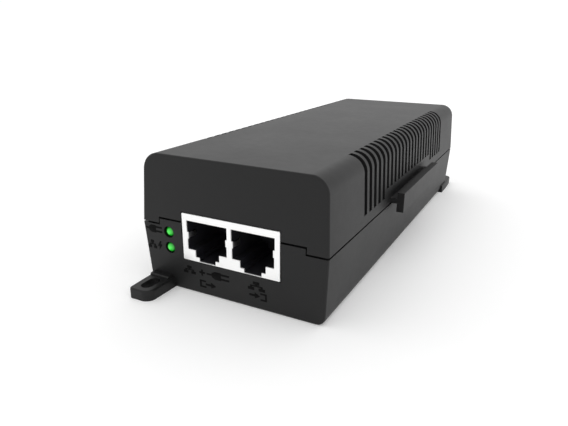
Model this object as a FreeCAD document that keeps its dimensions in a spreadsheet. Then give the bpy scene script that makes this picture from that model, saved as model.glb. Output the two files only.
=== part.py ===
"""PoE injector: a two-shell plastic power supply with two network ports and a mains inlet.

Frame: +X to the right seen from the port face, +Y from the port face towards the inlet, +Z up.
The origin is the centre of the underside.  All sizes are millimetres, kept in the sheet "Sizes".
"""
import FreeCAD, Part
import math
import os
import re
import Sketcher

DOC = FreeCAD.newDocument("poe_injector")
SHEET = DOC.addObject("Spreadsheet::Sheet", "Sizes")

SIZES = {
    # case
    "body_length": 141.7,
    "body_width": 55.9,
    "body_height": 38.0,
    "seam_height": 18.65,
    "seam_gap": 0.5,
    "wall": 2.0,
    "draft_angle": 3.0,
    "cover_edge_radius": 4.8,
    "base_edge_radius": 2.5,
    "end_edge_radius": 0.6,
    "lip_thickness": 0.9,
    "lip_height": 2.0,
    "lip_gap": 0.1,
    "tongue_width": 44.0,
    "tongue_rise": 1.75,
    "fit_gap": 0.3,
    # ears for wall mounting
    "ear_width": 9.2,
    "ear_reach": 10.1,
    "ear_thickness": 3.0,
    "ear_inset": 1.65,
    "ear_taper": 0.5,
    "ear_ledge": 10.2,
    "ear_tight_radius": 1.2,
    "ear_round_radius": 2.6,
    "ear_edge_radius": 0.5,
    "ear_slot_width": 3.4,
    "ear_slot_length": 6.2,
    "ear_slot_inset": 5.7,
    "ear_slot_reach": 5.2,
    "ear_ridge_inset": 2.1,
    "ear_ridge_width": 6.3,
    "ear_ridge_depth": 1.2,
    "ear_ridge_height": 0.6,
    "ear_ridge_radius": 0.5,
    # side vents and mounting rails of the cover
    "vent_count": 24,
    "vent_pitch": 3.93,
    "vent_width": 2.2,
    "vent_shift": -0.4,
    "vent_top_inset": 5.6,
    "vent_foot": 21.8,
    "vent_rail_foot": 24.2,
    "rail_length": 45.2,
    "rail_shift": -0.35,
    "rail_clear": 4.0,
    "rail_web": 1.6,
    "rail_gap": 2.0,
    "rail_leg": 2.2,
    "rail_leg_foot": 16.3,
    "rail_leg_top": 22.4,
    # screws and their posts
    "post_inset_x": 6.45,
    "post_inset_y": 16.5,
    "base_post_radius": 4.0,
    "cover_post_radius": 3.2,
    "base_post_height": 8.3,
    "screw_radius": 1.45,
    "screw_clearance": 0.25,
    "pilot_clearance": 0.05,
    "pilot_depth": 11.0,
    "screw_reach": 9.0,
    "screw_head_rim": 1.15,
    "screw_head_height": 2.0,
    "screw_well_gap": 0.3,
    "screw_well_depth": 2.4,
    "screw_cross_width": 0.7,
    "screw_cross_length": 3.0,
    "screw_cross_depth": 1.2,
    # rating label, left blank
    "label_width": 36.0,
    "label_length": 70.0,
    "label_thickness": 0.2,
    "label_recess": 0.4,
    # circuit board and insulation
    "board_thickness": 1.6,
    "board_gap": 0.5,
    "sheet_thickness": 0.4,
    "sheet_inset": 10.0,
    # network jack
    "jack_side_frame": 1.565,
    "jack_top_frame": 1.85,
    "jack_depth": 21.0,
    "jack_shift": 0.3,
    "jack_setback": 0.1,
    "shield_thickness": 0.3,
    "shield_spring_width": 0.5,
    "shield_spring_length": 4.5,
    "shield_spring_foot": 6.6,
    "shield_spring_height": 2.4,
    "port_pitch": 13.97,
    "port_width": 12.4,
    "port_depth": 14.5,
    "port_ceiling": 11.3,
    "port_shoulder": 3.15,
    "port_step": 1.2,
    "port_step_width": 7.6,
    "port_key_width": 5.2,
    "port_floor": 0.3,
    "contact_pitch": 1.02,
    "contact_width": 0.5,
    "contact_thickness": 0.4,
    "contact_start": 1.6,
    "contact_foot": 1.9,
    "contact_run": 8.0,
    "contact_drop": 2.6,
    # indicator lamps
    "led_x": 19.2,
    "led_low": 2.2,
    "led_high": 6.8,
    "led_radius": 1.5,
    "led_hole_gap": 0.15,
    "led_setback": 0.1,
    "led_length": 7.0,
    "led_flange_rim": 0.45,
    "led_flange": 1.0,
    "led_lead": 0.5,
    "led_lead_pitch": 2.54,
    "led_lead_run": 1.5,
    "led_holder_width": 5.2,
    "led_holder_gap": 0.3,
    "led_holder_top": 2.2,
    "led_bore_gap": 0.05,
    # mains inlet
    "inlet_width": 27.2,
    "inlet_height": 20.0,
    "inlet_depth": 22.0,
    "inlet_setback": 0.2,
    "inlet_wall": 1.7,
    "inlet_cavity_depth": 16.5,
    "inlet_bevel": 4.5,
    "blade_width": 2.0,
    "blade_height": 4.0,
    "blade_length": 14.5,
    "blade_spread": 7.0,
    "blade_offset": 2.0,
    "blade_tail": 2.0,
    # mains side of the board
    "fuse_radius": 4.2,
    "fuse_height": 7.6,
    "fuse_x": 19.4,
    "fuse_y": 46.0,
    "varistor_radius": 5.0,
    "varistor_thickness": 4.0,
    "varistor_x": 21.5,
    "varistor_y": 33.0,
    "ntc_radius": 4.5,
    "ntc_thickness": 4.0,
    "ntc_x": 21.5,
    "ntc_y": 17.0,
    "disc_stand": 1.5,
    "disc_lead": 0.6,
    "disc_lead_pitch": 5.0,
    "xcap_width": 18.0,
    "xcap_depth": 8.5,
    "xcap_height": 15.0,
    "xcap_x": -11.0,
    "xcap_y": 41.5,
    "part_edge_radius": 0.8,
    "choke_radius": 8.2,
    "choke_bore": 4.4,
    "choke_thickness": 6.0,
    "choke_x": 9.5,
    "choke_y": 37.0,
    "winding_build": 1.2,
    "winding_gap": 0.2,
    "winding_angle": 120.0,
    "bridge_width": 15.0,
    "bridge_depth": 4.0,
    "bridge_height": 11.0,
    "bridge_x": 11.5,
    "bridge_y": 24.0,
    "bridge_stand": 2.0,
    "bridge_lead": 0.9,
    "bridge_lead_pitch": 3.8,
    "bulk_radius": 9.0,
    "bulk_height": 24.0,
    "bulk_x": -12.5,
    "bulk_y": 27.5,
    "can_seal": 1.2,
    "can_groove": 0.6,
    # power stage
    "core_width": 26.0,
    "core_depth": 22.0,
    "core_height": 20.0,
    "core_leg": 4.0,
    "core_yoke": 4.5,
    "core_centre_radius": 4.5,
    "core_thickness": 9.0,
    "core_x": 0.0,
    "core_y": -6.0,
    "coil_gap": 0.3,
    "coil_bulge": 4.0,
    "sink_thickness": 2.0,
    "sink_width": 28.0,
    "sink_height": 22.0,
    "sink_foot": 5.0,
    "sink_x": 0.0,
    "primary_sink_y": 12.0,
    "secondary_sink_y": -24.0,
    "device_width": 10.0,
    "device_body": 4.4,
    "device_tab": 1.3,
    "device_height": 9.0,
    "device_tab_rise": 6.4,
    "device_lift": 4.0,
    "device_lead": 0.8,
    "device_lead_pitch": 2.54,
    "device_screw_radius": 1.4,
    "device_screw_head": 2.6,
    "device_screw_head_height": 1.8,
    "device_hole_gap": 0.1,
    # secondary side and logic
    "output_cap_radius": 5.0,
    "output_cap_height": 20.0,
    "output_cap_x": 18.6,
    "output_cap_y": -40.0,
    "output_cap_pitch": 11.0,
    "output_cap_count": 3,
    "inductor_radius": 5.5,
    "inductor_height": 12.0,
    "inductor_flange": 2.0,
    "inductor_neck": 4.3,
    "inductor_x": -19.0,
    "inductor_y": -32.0,
    "ycap_radius": 4.0,
    "ycap_thickness": 3.0,
    "ycap_x": -20.5,
    "ycap_y": -16.0,
    "opto_width": 6.5,
    "opto_depth": 4.6,
    "opto_height": 3.6,
    "opto_x": -19.5,
    "opto_y": -4.0,
    "chip_width": 6.0,
    "chip_depth": 5.0,
    "chip_height": 1.7,
    "chip_x": -20.0,
    "chip_y": 8.0,
    "poe_chip_width": 7.5,
    "poe_chip_depth": 10.3,
    "poe_chip_height": 2.4,
    "poe_chip_x": -19.0,
    "poe_chip_y": -44.5,
    "magnetics_width": 24.0,
    "magnetics_depth": 11.0,
    "magnetics_height": 5.8,
    "magnetics_x": 0.0,
    "magnetics_y": -41.0,
    "pin_width": 0.5,
    "pin_reach": 1.0,
    "pin_thickness": 0.25,
}

for row, (alias, value) in enumerate(SIZES.items(), start=1):
    SHEET.set(f"A{row}", alias)
    SHEET.set(f"B{row}", str(value))
    SHEET.setAlias(f"B{row}", alias)
DOC.recompute()

# Places and sizes that follow from the driving ones, as expressions on the sheet.
HALF_WIDTH = "(body_width / 2)"
HALF_LENGTH = "(body_length / 2)"
FRONT = "(-body_length / 2)"
BASE_RIM = "(seam_height - seam_gap / 2)"
COVER_FOOT = "(seam_height + seam_gap / 2)"
LIP_TOP = f"({BASE_RIM} + lip_height)"
TONGUE_TOP = f"({BASE_RIM} + tongue_rise)"
ROOF_UNDERSIDE = "(body_height - wall)"
POST_X = "(body_width / 2 - post_inset_x)"
POST_Y = "(body_length / 2 - post_inset_y)"
BOARD_TOP = "(base_post_height + board_thickness)"
DRAFT_SLOPE = "tan(draft_angle * 1 deg)"
BOARD_HALF_WIDTH = f"(body_width / 2 - wall - board_gap - ({BASE_RIM} - base_post_height) * {DRAFT_SLOPE})"
BOARD_HALF_LENGTH = f"(body_length / 2 - wall - board_gap - ({BASE_RIM} - base_post_height) * {DRAFT_SLOPE})"
JACK_FACE = f"({FRONT} + jack_setback)"
JACK_LEFT = "(jack_shift - (port_pitch + port_width) / 2 - jack_side_frame)"
JACK_RIGHT = "(jack_shift + (port_pitch + port_width) / 2 + jack_side_frame)"
PORT_ROOF = f"({BOARD_TOP} + port_ceiling)"
JACK_TOP = f"({PORT_ROOF} + jack_top_frame)"
INLET_FACE = "(body_length / 2 - inlet_setback)"
INLET_TOP = f"({BOARD_TOP} + inlet_height)"
INLET_MIDDLE = f"({BOARD_TOP} + inlet_height / 2)"
WELL_CEILING = "screw_well_depth"
PORT_SIDES = (-1, 1)

NODES = []


def on_sheet(text):
    """Point every size named in an expression at its cell in the sheet."""
    def cell(match):
        word = match.group()
        return f"Sizes.{word}" if word in SIZES else word
    return re.sub(r"[a-z][a-z0-9_]*", cell, str(text))


def bind(thing, **sizes):
    """Bind properties of a document object to expressions on the sheet."""
    for prop, text in sizes.items():
        thing.setExpression(prop, on_sheet(text))
    return thing


def place(thing, x, y, z):
    """Bind an object's position to expressions on the sheet."""
    thing.setExpression("Placement.Base.x", on_sheet(x))
    thing.setExpression("Placement.Base.y", on_sheet(y))
    thing.setExpression("Placement.Base.z", on_sheet(z))
    return thing


def size_of(text):
    """The number that an expression on the sheet comes to."""
    return float(SHEET.evalExpression(on_sheet(text)))


def node(label, thing):
    """Register a finished sub-part under the name of its file."""
    thing.Label = label
    NODES.append(thing)
    return thing


# Part primitives and booleans

AXES = {
    "X": FreeCAD.Rotation(FreeCAD.Vector(0, 1, 0), 90),
    "Y": FreeCAD.Rotation(FreeCAD.Vector(1, 0, 0), -90),
    "Z": FreeCAD.Rotation(),
}


def block(name, width, depth, height, x, y, z):
    """A box centred on x and y that stands on z."""
    box = DOC.addObject("Part::Box", name)
    bind(box, Length=width, Width=depth, Height=height)
    return place(box, f"({x}) - ({width}) / 2", f"({y}) - ({depth}) / 2", z)


def rod(name, radius, length, x, y, z, axis="Z"):
    """A cylinder that starts at a point and runs along a positive axis."""
    cylinder = DOC.addObject("Part::Cylinder", name)
    bind(cylinder, Radius=radius, Height=length)
    cylinder.Placement.Rotation = AXES[axis]
    return place(cylinder, x, y, z)


def fuse(name, pieces):
    union = DOC.addObject("Part::MultiFuse", name)
    union.Shapes = pieces
    return union


def cut(name, base, tool):
    difference = DOC.addObject("Part::Cut", name)
    difference.Base = base
    difference.Tool = tool
    return difference


def group(name, pieces):
    """Several separate solids of one kind that share a node."""
    compound = DOC.addObject("Part::Compound", name)
    compound.Links = pieces
    return compound


def soften(name, base, radius, test):
    """Round the edges of a Part object that pass a test."""
    DOC.recompute()
    size = SHEET.get(radius)
    rounded = DOC.addObject("Part::Fillet", name)
    rounded.Base = base
    rounded.Edges = [(index, size, size) for index, edge in enumerate(base.Shape.Edges, 1) if test(edge)]
    return rounded


# PartDesign bodies

def new_body(name):
    return DOC.addObject("PartDesign::Body", name)


def sketch(body, name, role, offset):
    """A sketch on one of the body's own origin planes, moved along its normal."""
    drawing = body.newObject("Sketcher::SketchObject", name)
    origin_plane = next(item for item in body.Origin.OriginFeatures if item.Role == role)
    drawing.AttachmentSupport = [(origin_plane, "")]
    drawing.MapMode = "FlatFace"
    drawing.setExpression("AttachmentOffset.Base.z", on_sheet(offset))
    return drawing


def dimension(drawing, text, kind, *where):
    """Add a sketch dimension that is bound to an expression on the sheet."""
    index = drawing.addConstraint(Sketcher.Constraint(kind, *where, size_of(text)))
    drawing.setExpression(f"Constraints[{index}]", on_sheet(text))


def pin_point(drawing, geometry, point, x, y):
    """Fix a point of a sketch by its two coordinates."""
    for kind, text in (("DistanceX", x), ("DistanceY", y)):
        dimension(drawing, text, kind, geometry, point)


def polygon(drawing, points):
    """A closed outline of straight lines with every corner dimensioned."""
    count = len(points)
    first = drawing.GeometryCount
    corners = [FreeCAD.Vector(size_of(x), size_of(y), 0) for x, y in points]
    for i in range(count):
        drawing.addGeometry(Part.LineSegment(corners[i], corners[(i + 1) % count]), False)
    for i in range(count):
        drawing.addConstraint(Sketcher.Constraint("Coincident", first + i, 2, first + (i + 1) % count, 1))
    for i, (x, y) in enumerate(points):
        pin_point(drawing, first + i, 1, x, y)


def rectangle(drawing, x_low, x_high, y_low, y_high):
    polygon(drawing, [(x_low, y_low), (x_high, y_low), (x_high, y_high), (x_low, y_high)])


def circle(drawing, x, y, radius):
    middle = FreeCAD.Vector(size_of(x), size_of(y), 0)
    index = drawing.addGeometry(Part.Circle(middle, FreeCAD.Vector(0, 0, 1), size_of(radius)), False)
    pin_point(drawing, index, 3, x, y)
    dimension(drawing, radius, "Radius", index)


def slot_outline(drawing, x, y, width, length):
    """A slot along the sketch's vertical: two half circles joined by tangent lines."""
    first = drawing.GeometryCount
    up = FreeCAD.Vector(0, 0, 1)
    radius = size_of(f"({width}) / 2")
    high = FreeCAD.Vector(size_of(x), size_of(f"({y}) + (({length}) - ({width})) / 2"), 0)
    low = FreeCAD.Vector(size_of(x), size_of(f"({y}) - (({length}) - ({width})) / 2"), 0)
    across = FreeCAD.Vector(radius, 0, 0)
    drawing.addGeometry(Part.ArcOfCircle(Part.Circle(high, up, radius), 0, math.pi), False)
    drawing.addGeometry(Part.ArcOfCircle(Part.Circle(low, up, radius), math.pi, 2 * math.pi), False)
    drawing.addGeometry(Part.LineSegment(high - across, low - across), False)
    drawing.addGeometry(Part.LineSegment(low + across, high + across), False)
    joints = ((0, 2, 2, 1), (2, 2, 1, 1), (1, 2, 3, 1), (3, 2, 0, 1))
    for one, one_end, other, other_end in joints:
        drawing.addConstraint(Sketcher.Constraint("Tangent", first + one, one_end, first + other, other_end))
    pin_point(drawing, first, 3, x, f"({y}) + (({length}) - ({width})) / 2")
    pin_point(drawing, first + 1, 3, x, f"({y}) - (({length}) - ({width})) / 2")
    dimension(drawing, f"({width}) / 2", "Radius", first)


def pad(body, name, drawing, length, taper=None, reverse=False):
    """Extrude a sketch, along its normal unless reversed."""
    feature = body.newObject("PartDesign::Pad", name)
    feature.Profile = (drawing, [""])
    bind(feature, Length=length)
    if taper is not None:
        bind(feature, TaperAngle=taper)
    feature.Reversed = reverse
    DOC.recompute()
    return feature


def pocket(body, name, drawing, length, reverse=False):
    """Cut a sketch's outline out, against its normal unless reversed."""
    before = body.Shape.Volume
    feature = body.newObject("PartDesign::Pocket", name)
    feature.Profile = (drawing, [""])
    bind(feature, Length=length)
    feature.Reversed = reverse
    DOC.recompute()
    if body.Shape.Volume > before - 1e-6:
        raise RuntimeError(f"pocket {name} cuts nothing")
    return feature


def fillet(body, name, radius, test):
    """Round the edges of a body that pass a test."""
    base = body.Tip
    edges = [f"Edge{index}" for index, edge in enumerate(base.Shape.Edges, 1) if test(edge)]
    if not edges:
        raise RuntimeError(f"fillet {name} finds no edge")
    feature = body.newObject("PartDesign::Fillet", name)
    feature.Base = (base, edges)
    bind(feature, Radius=radius)
    DOC.recompute()
    return feature


def hollow(body, name, test):
    """Leave a wall inside the body and open the face that passes the test."""
    base = body.Tip
    faces = [f"Face{index}" for index, face in enumerate(base.Shape.Faces, 1) if test(face)]
    feature = body.newObject("PartDesign::Thickness", name)
    feature.Base = (base, faces)
    bind(feature, Value="wall")
    feature.Reversed = True
    DOC.recompute()
    return feature


def repeat_along_y(body, name, features, count, pitch):
    """Repeat features along +Y."""
    pattern = body.newObject("PartDesign::LinearPattern", name)
    pattern.Originals = features
    axis = next(item for item in body.Origin.OriginFeatures if item.Role == "Y_Axis")
    pattern.Direction = (axis, [""])
    bind(pattern, Occurrences=count, Length=f"({pitch}) * (({count}) - 1)")
    body.Tip = pattern
    DOC.recompute()
    return pattern


def edge_points(edge):
    """The ends and the middle of an edge."""
    middle = edge.valueAt((edge.FirstParameter + edge.LastParameter) / 2)
    return [vertex.Point for vertex in edge.Vertexes] + [middle]


def all_on(edge, distance):
    """True where every point of an edge is at zero distance from a surface."""
    return all(abs(distance(point)) < 0.01 for point in edge_points(edge))


# Case shells

def shell(body, seam, height, edge_radius, upward):
    """A drafted, hollow half of the case, open at the seam."""
    outline = sketch(body, f"{body.Name}_outline", "XY_Plane", seam)
    rectangle(outline, f"-{HALF_WIDTH}", HALF_WIDTH, f"-{HALF_LENGTH}", HALF_LENGTH)
    pad(body, f"{body.Name}_block", outline, height, taper="-draft_angle", reverse=not upward)
    seam_z = size_of(seam)
    far_z = seam_z + size_of(height) * (1 if upward else -1)
    slope = math.tan(math.radians(size_of("draft_angle")))

    def off_far(point):
        return point.z - far_z

    def off_end(point):
        return size_of(HALF_LENGTH) - abs(point.z - seam_z) * slope - abs(point.y)

    fillet(body, f"{body.Name}_long_edges", edge_radius,
           lambda edge: all_on(edge, off_far) and not all_on(edge, off_end))
    hollow(body, f"{body.Name}_cavity",
           lambda face: all(abs(vertex.Z - seam_z) < 0.01 for vertex in face.Vertexes))
    fillet(body, f"{body.Name}_end_edges", "end_edge_radius",
           lambda edge: all_on(edge, off_end) and not all_on(edge, lambda point: point.z - seam_z))


def four_posts(drawing, radius):
    """One circle at each screw."""
    for side in ("-", ""):
        for end in ("-", ""):
            circle(drawing, f"{side}{POST_X}", f"{end}{POST_Y}", radius)


def wall_opening(body, name, low, high, foot, top, front, depth="wall + lip_thickness"):
    """Cut a rectangular opening through the front or the rear wall."""
    offset = f"{HALF_LENGTH} + wall" if front else f"-({HALF_LENGTH} + wall)"
    outline = sketch(body, f"{name}_outline", "XZ_Plane", offset)
    rectangle(outline, low, high, foot, top)
    pocket(body, name, outline, f"wall + {depth}", reverse=not front)


def jack_opening(body, name):
    wall_opening(body, name, f"{JACK_LEFT} - fit_gap", f"{JACK_RIGHT} + fit_gap",
                 f"{BOARD_TOP} - fit_gap", f"{JACK_TOP} + fit_gap", front=True)


def inlet_opening(body, name):
    wall_opening(body, name, "-inlet_width / 2 - fit_gap", "inlet_width / 2 + fit_gap",
                 f"{BOARD_TOP} - fit_gap", f"{INLET_TOP} + fit_gap", front=False)


def ear(body, end):
    """One mounting ear; end is -1 at the front left and +1 at the rear right, where a ledge runs on beside it."""
    name = "front_ear" if end < 0 else "rear_ear"
    inner = f"{end} * ({HALF_WIDTH} - ear_width)"
    tip = f"{end} * ({HALF_LENGTH} + ear_reach)"
    wall_y = f"{end} * ({HALF_LENGTH} - wall)"
    if end < 0:
        outer_tip = f"{end} * ({HALF_WIDTH} - ear_inset - ear_taper)"
        points = [(f"{end} * ({HALF_WIDTH} - ear_inset)", wall_y), (outer_tip, tip), (inner, tip), (inner, wall_y)]
        tight, rounded = outer_tip, inner
    else:
        outer_tip = f"{end} * ({HALF_WIDTH} - ear_taper)"
        ledge = f"{end} * ({HALF_LENGTH} - ear_ledge)"
        wall_x = f"{end} * ({HALF_WIDTH} - wall)"
        points = [
            (f"{end} * {HALF_WIDTH}", ledge), (f"{end} * {HALF_WIDTH}", f"{end} * {HALF_LENGTH}"),
            (outer_tip, tip), (inner, tip), (inner, wall_y), (wall_x, wall_y), (wall_x, ledge),
        ]
        tight, rounded = inner, outer_tip
    outline = sketch(body, f"{name}_outline", "XY_Plane", "0")
    polygon(outline, points)
    pad(body, name, outline, "ear_thickness")

    def corner(point_x):
        x, y = size_of(point_x), size_of(tip)
        return lambda edge: all_on(edge, lambda point: math.hypot(point.x - x, point.y - y))

    fillet(body, f"{name}_tight_corner", "ear_tight_radius", corner(tight))
    fillet(body, f"{name}_round_corner", "ear_round_radius", corner(rounded))
    face_y = size_of(HALF_LENGTH) - size_of("wall")
    fillet(body, f"{name}_top_edge", "ear_edge_radius",
           lambda edge: all_on(edge, lambda point: point.z - size_of("ear_thickness"))
           and all(point.y * end > face_y for point in edge_points(edge))
           and max(point.y * end for point in edge_points(edge)) > size_of(HALF_LENGTH) + 1)
    slot = sketch(body, f"{name}_slot_outline", "XY_Plane", "ear_thickness")
    slot_x = f"{end} * ({HALF_WIDTH} - ear_slot_inset)"
    slot_y = f"{end} * ({HALF_LENGTH} + ear_slot_reach)"
    slot_outline(slot, slot_x, slot_y, "ear_slot_width", "ear_slot_length")
    pocket(body, f"{name}_slot", slot, "ear_thickness")
    ridge = sketch(body, f"{name}_ridge_outline", "XY_Plane", "0")
    ridge_outer = f"{HALF_WIDTH} - ear_ridge_inset"
    ridge_y = f"{end} * ({HALF_LENGTH} + ear_ridge_depth)"
    ridge_top = "ear_thickness + ear_ridge_height"
    rectangle(ridge, f"{end} * ({ridge_outer})", f"{end} * ({ridge_outer} - ear_ridge_width)", wall_y, ridge_y)
    pad(body, f"{name}_ridge", ridge, ridge_top)
    fillet(body, f"{name}_ridge_edge", "ear_ridge_radius",
           lambda edge: all_on(edge, lambda point: point.z - size_of(ridge_top))
           and all_on(edge, lambda point: point.y - size_of(ridge_y)))


def base_case():
    """The lower shell with its lip, front tongue, screw posts, ears and openings."""
    body = new_body("base")
    shell(body, BASE_RIM, BASE_RIM, "base_edge_radius", upward=False)

    lip = sketch(body, "lip_outline", "XY_Plane", BASE_RIM)
    for inset in ("wall - lip_thickness", "wall"):
        rectangle(lip, f"-({HALF_WIDTH} - ({inset}))", f"{HALF_WIDTH} - ({inset})",
                  f"-({HALF_LENGTH} - ({inset}))", f"{HALF_LENGTH} - ({inset})")
    pad(body, "lip", lip, "lip_height")

    tongue = sketch(body, "tongue_outline", "XY_Plane", BASE_RIM)
    rectangle(tongue, "-tongue_width / 2", "tongue_width / 2", f"-{HALF_LENGTH}", f"-({HALF_LENGTH} - wall)")
    pad(body, "tongue", tongue, "tongue_rise")

    posts = sketch(body, "base_posts_outline", "XY_Plane", "wall / 2")
    four_posts(posts, "base_post_radius")
    pad(body, "base_posts", posts, "base_post_height - wall / 2")
    wells = sketch(body, "screw_wells_outline", "XY_Plane", WELL_CEILING)
    four_posts(wells, "screw_radius + screw_head_rim + screw_well_gap")
    pocket(body, "screw_wells", wells, "screw_well_depth")
    holes = sketch(body, "screw_holes_outline", "XY_Plane", "base_post_height")
    four_posts(holes, "screw_radius + screw_clearance")
    pocket(body, "screw_holes", holes, "base_post_height")

    jack_opening(body, "base_jack_opening")
    inlet_opening(body, "base_inlet_opening")
    lamps = sketch(body, "lamp_holes_outline", "XZ_Plane", f"{HALF_LENGTH} + wall")
    for rise in ("led_low", "led_high"):
        circle(lamps, "-led_x", f"{BOARD_TOP} + {rise}", "led_radius + led_hole_gap")
    pocket(body, "lamp_holes", lamps, "3 * wall")

    recess = sketch(body, "label_recess_outline", "XY_Plane", "label_recess")
    rectangle(recess, "-label_width / 2", "label_width / 2", "-label_length / 2", "label_length / 2")
    pocket(body, "label_recess", recess, "label_recess")
    for end in (-1, 1):
        ear(body, end)
    return node("base_case", body)


def vents(body):
    """Slots that run over both long edges of the cover; those above a rail stop higher."""
    first = "vent_shift - vent_pitch * (vent_count - 1) / 2 - vent_width / 2"
    side_count = "floor((vent_pitch * (vent_count - 1) - rail_length - 2 * rail_clear) / vent_pitch / 2 + 1)"
    last_group = f"{first} + vent_pitch * (vent_count - ({side_count}))"
    rows = (
        ("vents", first, "vent_rail_foot", "body_height + wall", "vent_count"),
        ("front_long_vents", first, "vent_foot", "vent_rail_foot + wall", side_count),
        ("rear_long_vents", last_group, "vent_foot", "vent_rail_foot + wall", side_count),
    )
    for name, start, foot, top, count in rows:
        outline = sketch(body, f"{name}_outline", "XZ_Plane", f"-({start})")
        for side in (-1, 1):
            rectangle(outline, f"{side} * ({HALF_WIDTH} - vent_top_inset)", f"{side} * ({HALF_WIDTH} + wall)",
                      foot, top)
        single = pocket(body, f"{name}_first", outline, "vent_width")
        repeat_along_y(body, name, [single], count, "vent_pitch")


def rails(body):
    """A T-section rail on each side: a web at the foot of the cover with an upright leg."""
    outline = sketch(body, "rails_outline", "XZ_Plane", "-(rail_shift - rail_length / 2)")
    web_top = f"{COVER_FOOT} + rail_web"
    inner = f"({HALF_WIDTH} + rail_gap)"
    outer = f"({inner} + rail_leg)"
    for side in (-1, 1):
        polygon(outline, [
            (f"{side} * ({HALF_WIDTH} - wall / 2)", COVER_FOOT), (f"{side} * {inner}", COVER_FOOT),
            (f"{side} * {inner}", "rail_leg_foot"), (f"{side} * {outer}", "rail_leg_foot"),
            (f"{side} * {outer}", "rail_leg_top"), (f"{side} * {inner}", "rail_leg_top"),
            (f"{side} * {inner}", web_top), (f"{side} * ({HALF_WIDTH} - wall / 2)", web_top),
        ])
    pad(body, "rails", outline, "rail_length", reverse=True)


def top_cover():
    """The upper shell with its rebate, vents, rails and screw posts."""
    body = new_body("cover")
    shell(body, COVER_FOOT, f"body_height - {COVER_FOOT}", "cover_edge_radius", upward=True)

    rebate = sketch(body, "rebate_outline", "XY_Plane", COVER_FOOT)
    inset = "(wall - lip_thickness - lip_gap)"
    rectangle(rebate, f"-({HALF_WIDTH} - {inset})", f"{HALF_WIDTH} - {inset}",
              f"-({HALF_LENGTH} - {inset})", f"{HALF_LENGTH} - {inset}")
    pocket(body, "rebate", rebate, f"{LIP_TOP} - {COVER_FOOT}", reverse=True)

    notch = sketch(body, "notch_outline", "XZ_Plane", f"{HALF_LENGTH} + wall")
    rectangle(notch, "-tongue_width / 2 - fit_gap", "tongue_width / 2 + fit_gap",
              f"{COVER_FOOT} - wall", f"{TONGUE_TOP} + seam_gap")
    pocket(body, "notch", notch, "2 * wall - lip_thickness")
    jack_opening(body, "cover_jack_opening")
    inlet_opening(body, "cover_inlet_opening")

    posts = sketch(body, "cover_posts_outline", "XY_Plane", BOARD_TOP)
    four_posts(posts, "cover_post_radius")
    pad(body, "cover_posts", posts, f"body_height - wall / 2 - {BOARD_TOP}")
    pilots = sketch(body, "pilots_outline", "XY_Plane", BOARD_TOP)
    four_posts(pilots, "screw_radius + pilot_clearance")
    pocket(body, "pilots", pilots, "pilot_depth", reverse=True)
    vents(body)
    rails(body)
    return node("top_cover", body)


def case_screws():
    """Four cross-head screws that clamp the base, the board and the cover together."""
    screws = []
    for number, (side, end) in enumerate((("-", "-"), ("", "-"), ("-", ""), ("", "")), start=1):
        x, y = f"{side}{POST_X}", f"{end}{POST_Y}"
        head_foot = f"({WELL_CEILING} - screw_head_height)"
        head = rod(f"screw_head_{number}", "screw_radius + screw_head_rim", "screw_head_height",
                   x, y, head_foot)
        shank = rod(f"screw_shank_{number}", "screw_radius", f"{BOARD_TOP} + screw_reach - {WELL_CEILING}",
                    x, y, WELL_CEILING)
        along = block(f"cross_along_{number}", "screw_cross_length", "screw_cross_width", "screw_cross_depth",
                      x, y, head_foot)
        across = block(f"cross_across_{number}", "screw_cross_width", "screw_cross_length",
                       "screw_cross_depth", x, y, head_foot)
        blank = fuse(f"screw_blank_{number}", [head, shank])
        cross = fuse(f"screw_cross_{number}", [along, across])
        screws.append(cut(f"screw_{number}", blank, cross))
    return node("case_screws", group("screws", screws))


def rating_label():
    """A blank label in the recess of the underside."""
    label = block("label", "label_width - fit_gap", "label_length - fit_gap", "label_thickness",
                  "0", "0", "label_recess - label_thickness")
    return node("rating_label", label)


# Board

def circuit_board():
    body = new_body("board")
    outline = sketch(body, "board_outline", "XY_Plane", "base_post_height")
    rectangle(outline, f"-{BOARD_HALF_WIDTH}", BOARD_HALF_WIDTH, f"-{BOARD_HALF_LENGTH}", BOARD_HALF_LENGTH)
    pad(body, "board_blank", outline, "board_thickness")
    holes = sketch(body, "board_holes_outline", "XY_Plane", BOARD_TOP)
    four_posts(holes, "screw_radius + screw_clearance")
    pocket(body, "board_holes", holes, "board_thickness")
    return node("circuit_board", body)


def insulation_sheet():
    """A thin film on the floor of the base, between the posts."""
    film = block("film", f"2 * ({POST_X} - base_post_radius - board_gap)", "body_length - 2 * sheet_inset",
                 "sheet_thickness", "0", "0", "wall")
    return node("insulation_sheet", film)


# Network jack

def port_outline(drawing, side):
    """The opening of one port: a wide mouth with a stepped key for the latch below it."""
    middle = f"(jack_shift + {side} * port_pitch / 2)"
    shoulder = f"{BOARD_TOP} + port_shoulder"
    step = f"{BOARD_TOP} + port_step"
    floor = f"{BOARD_TOP} + port_floor"
    corners = (
        ("port_width", PORT_ROOF, shoulder),
        ("port_step_width", shoulder, step),
        ("port_key_width", step, floor),
    )
    right = []
    for width, top, foot in corners:
        right += [(f"{middle} + {width} / 2", top), (f"{middle} + {width} / 2", foot)]
    left = [(x.replace(f"{middle} +", f"{middle} -"), z) for x, z in reversed(right)]
    polygon(drawing, right + left)


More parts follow.
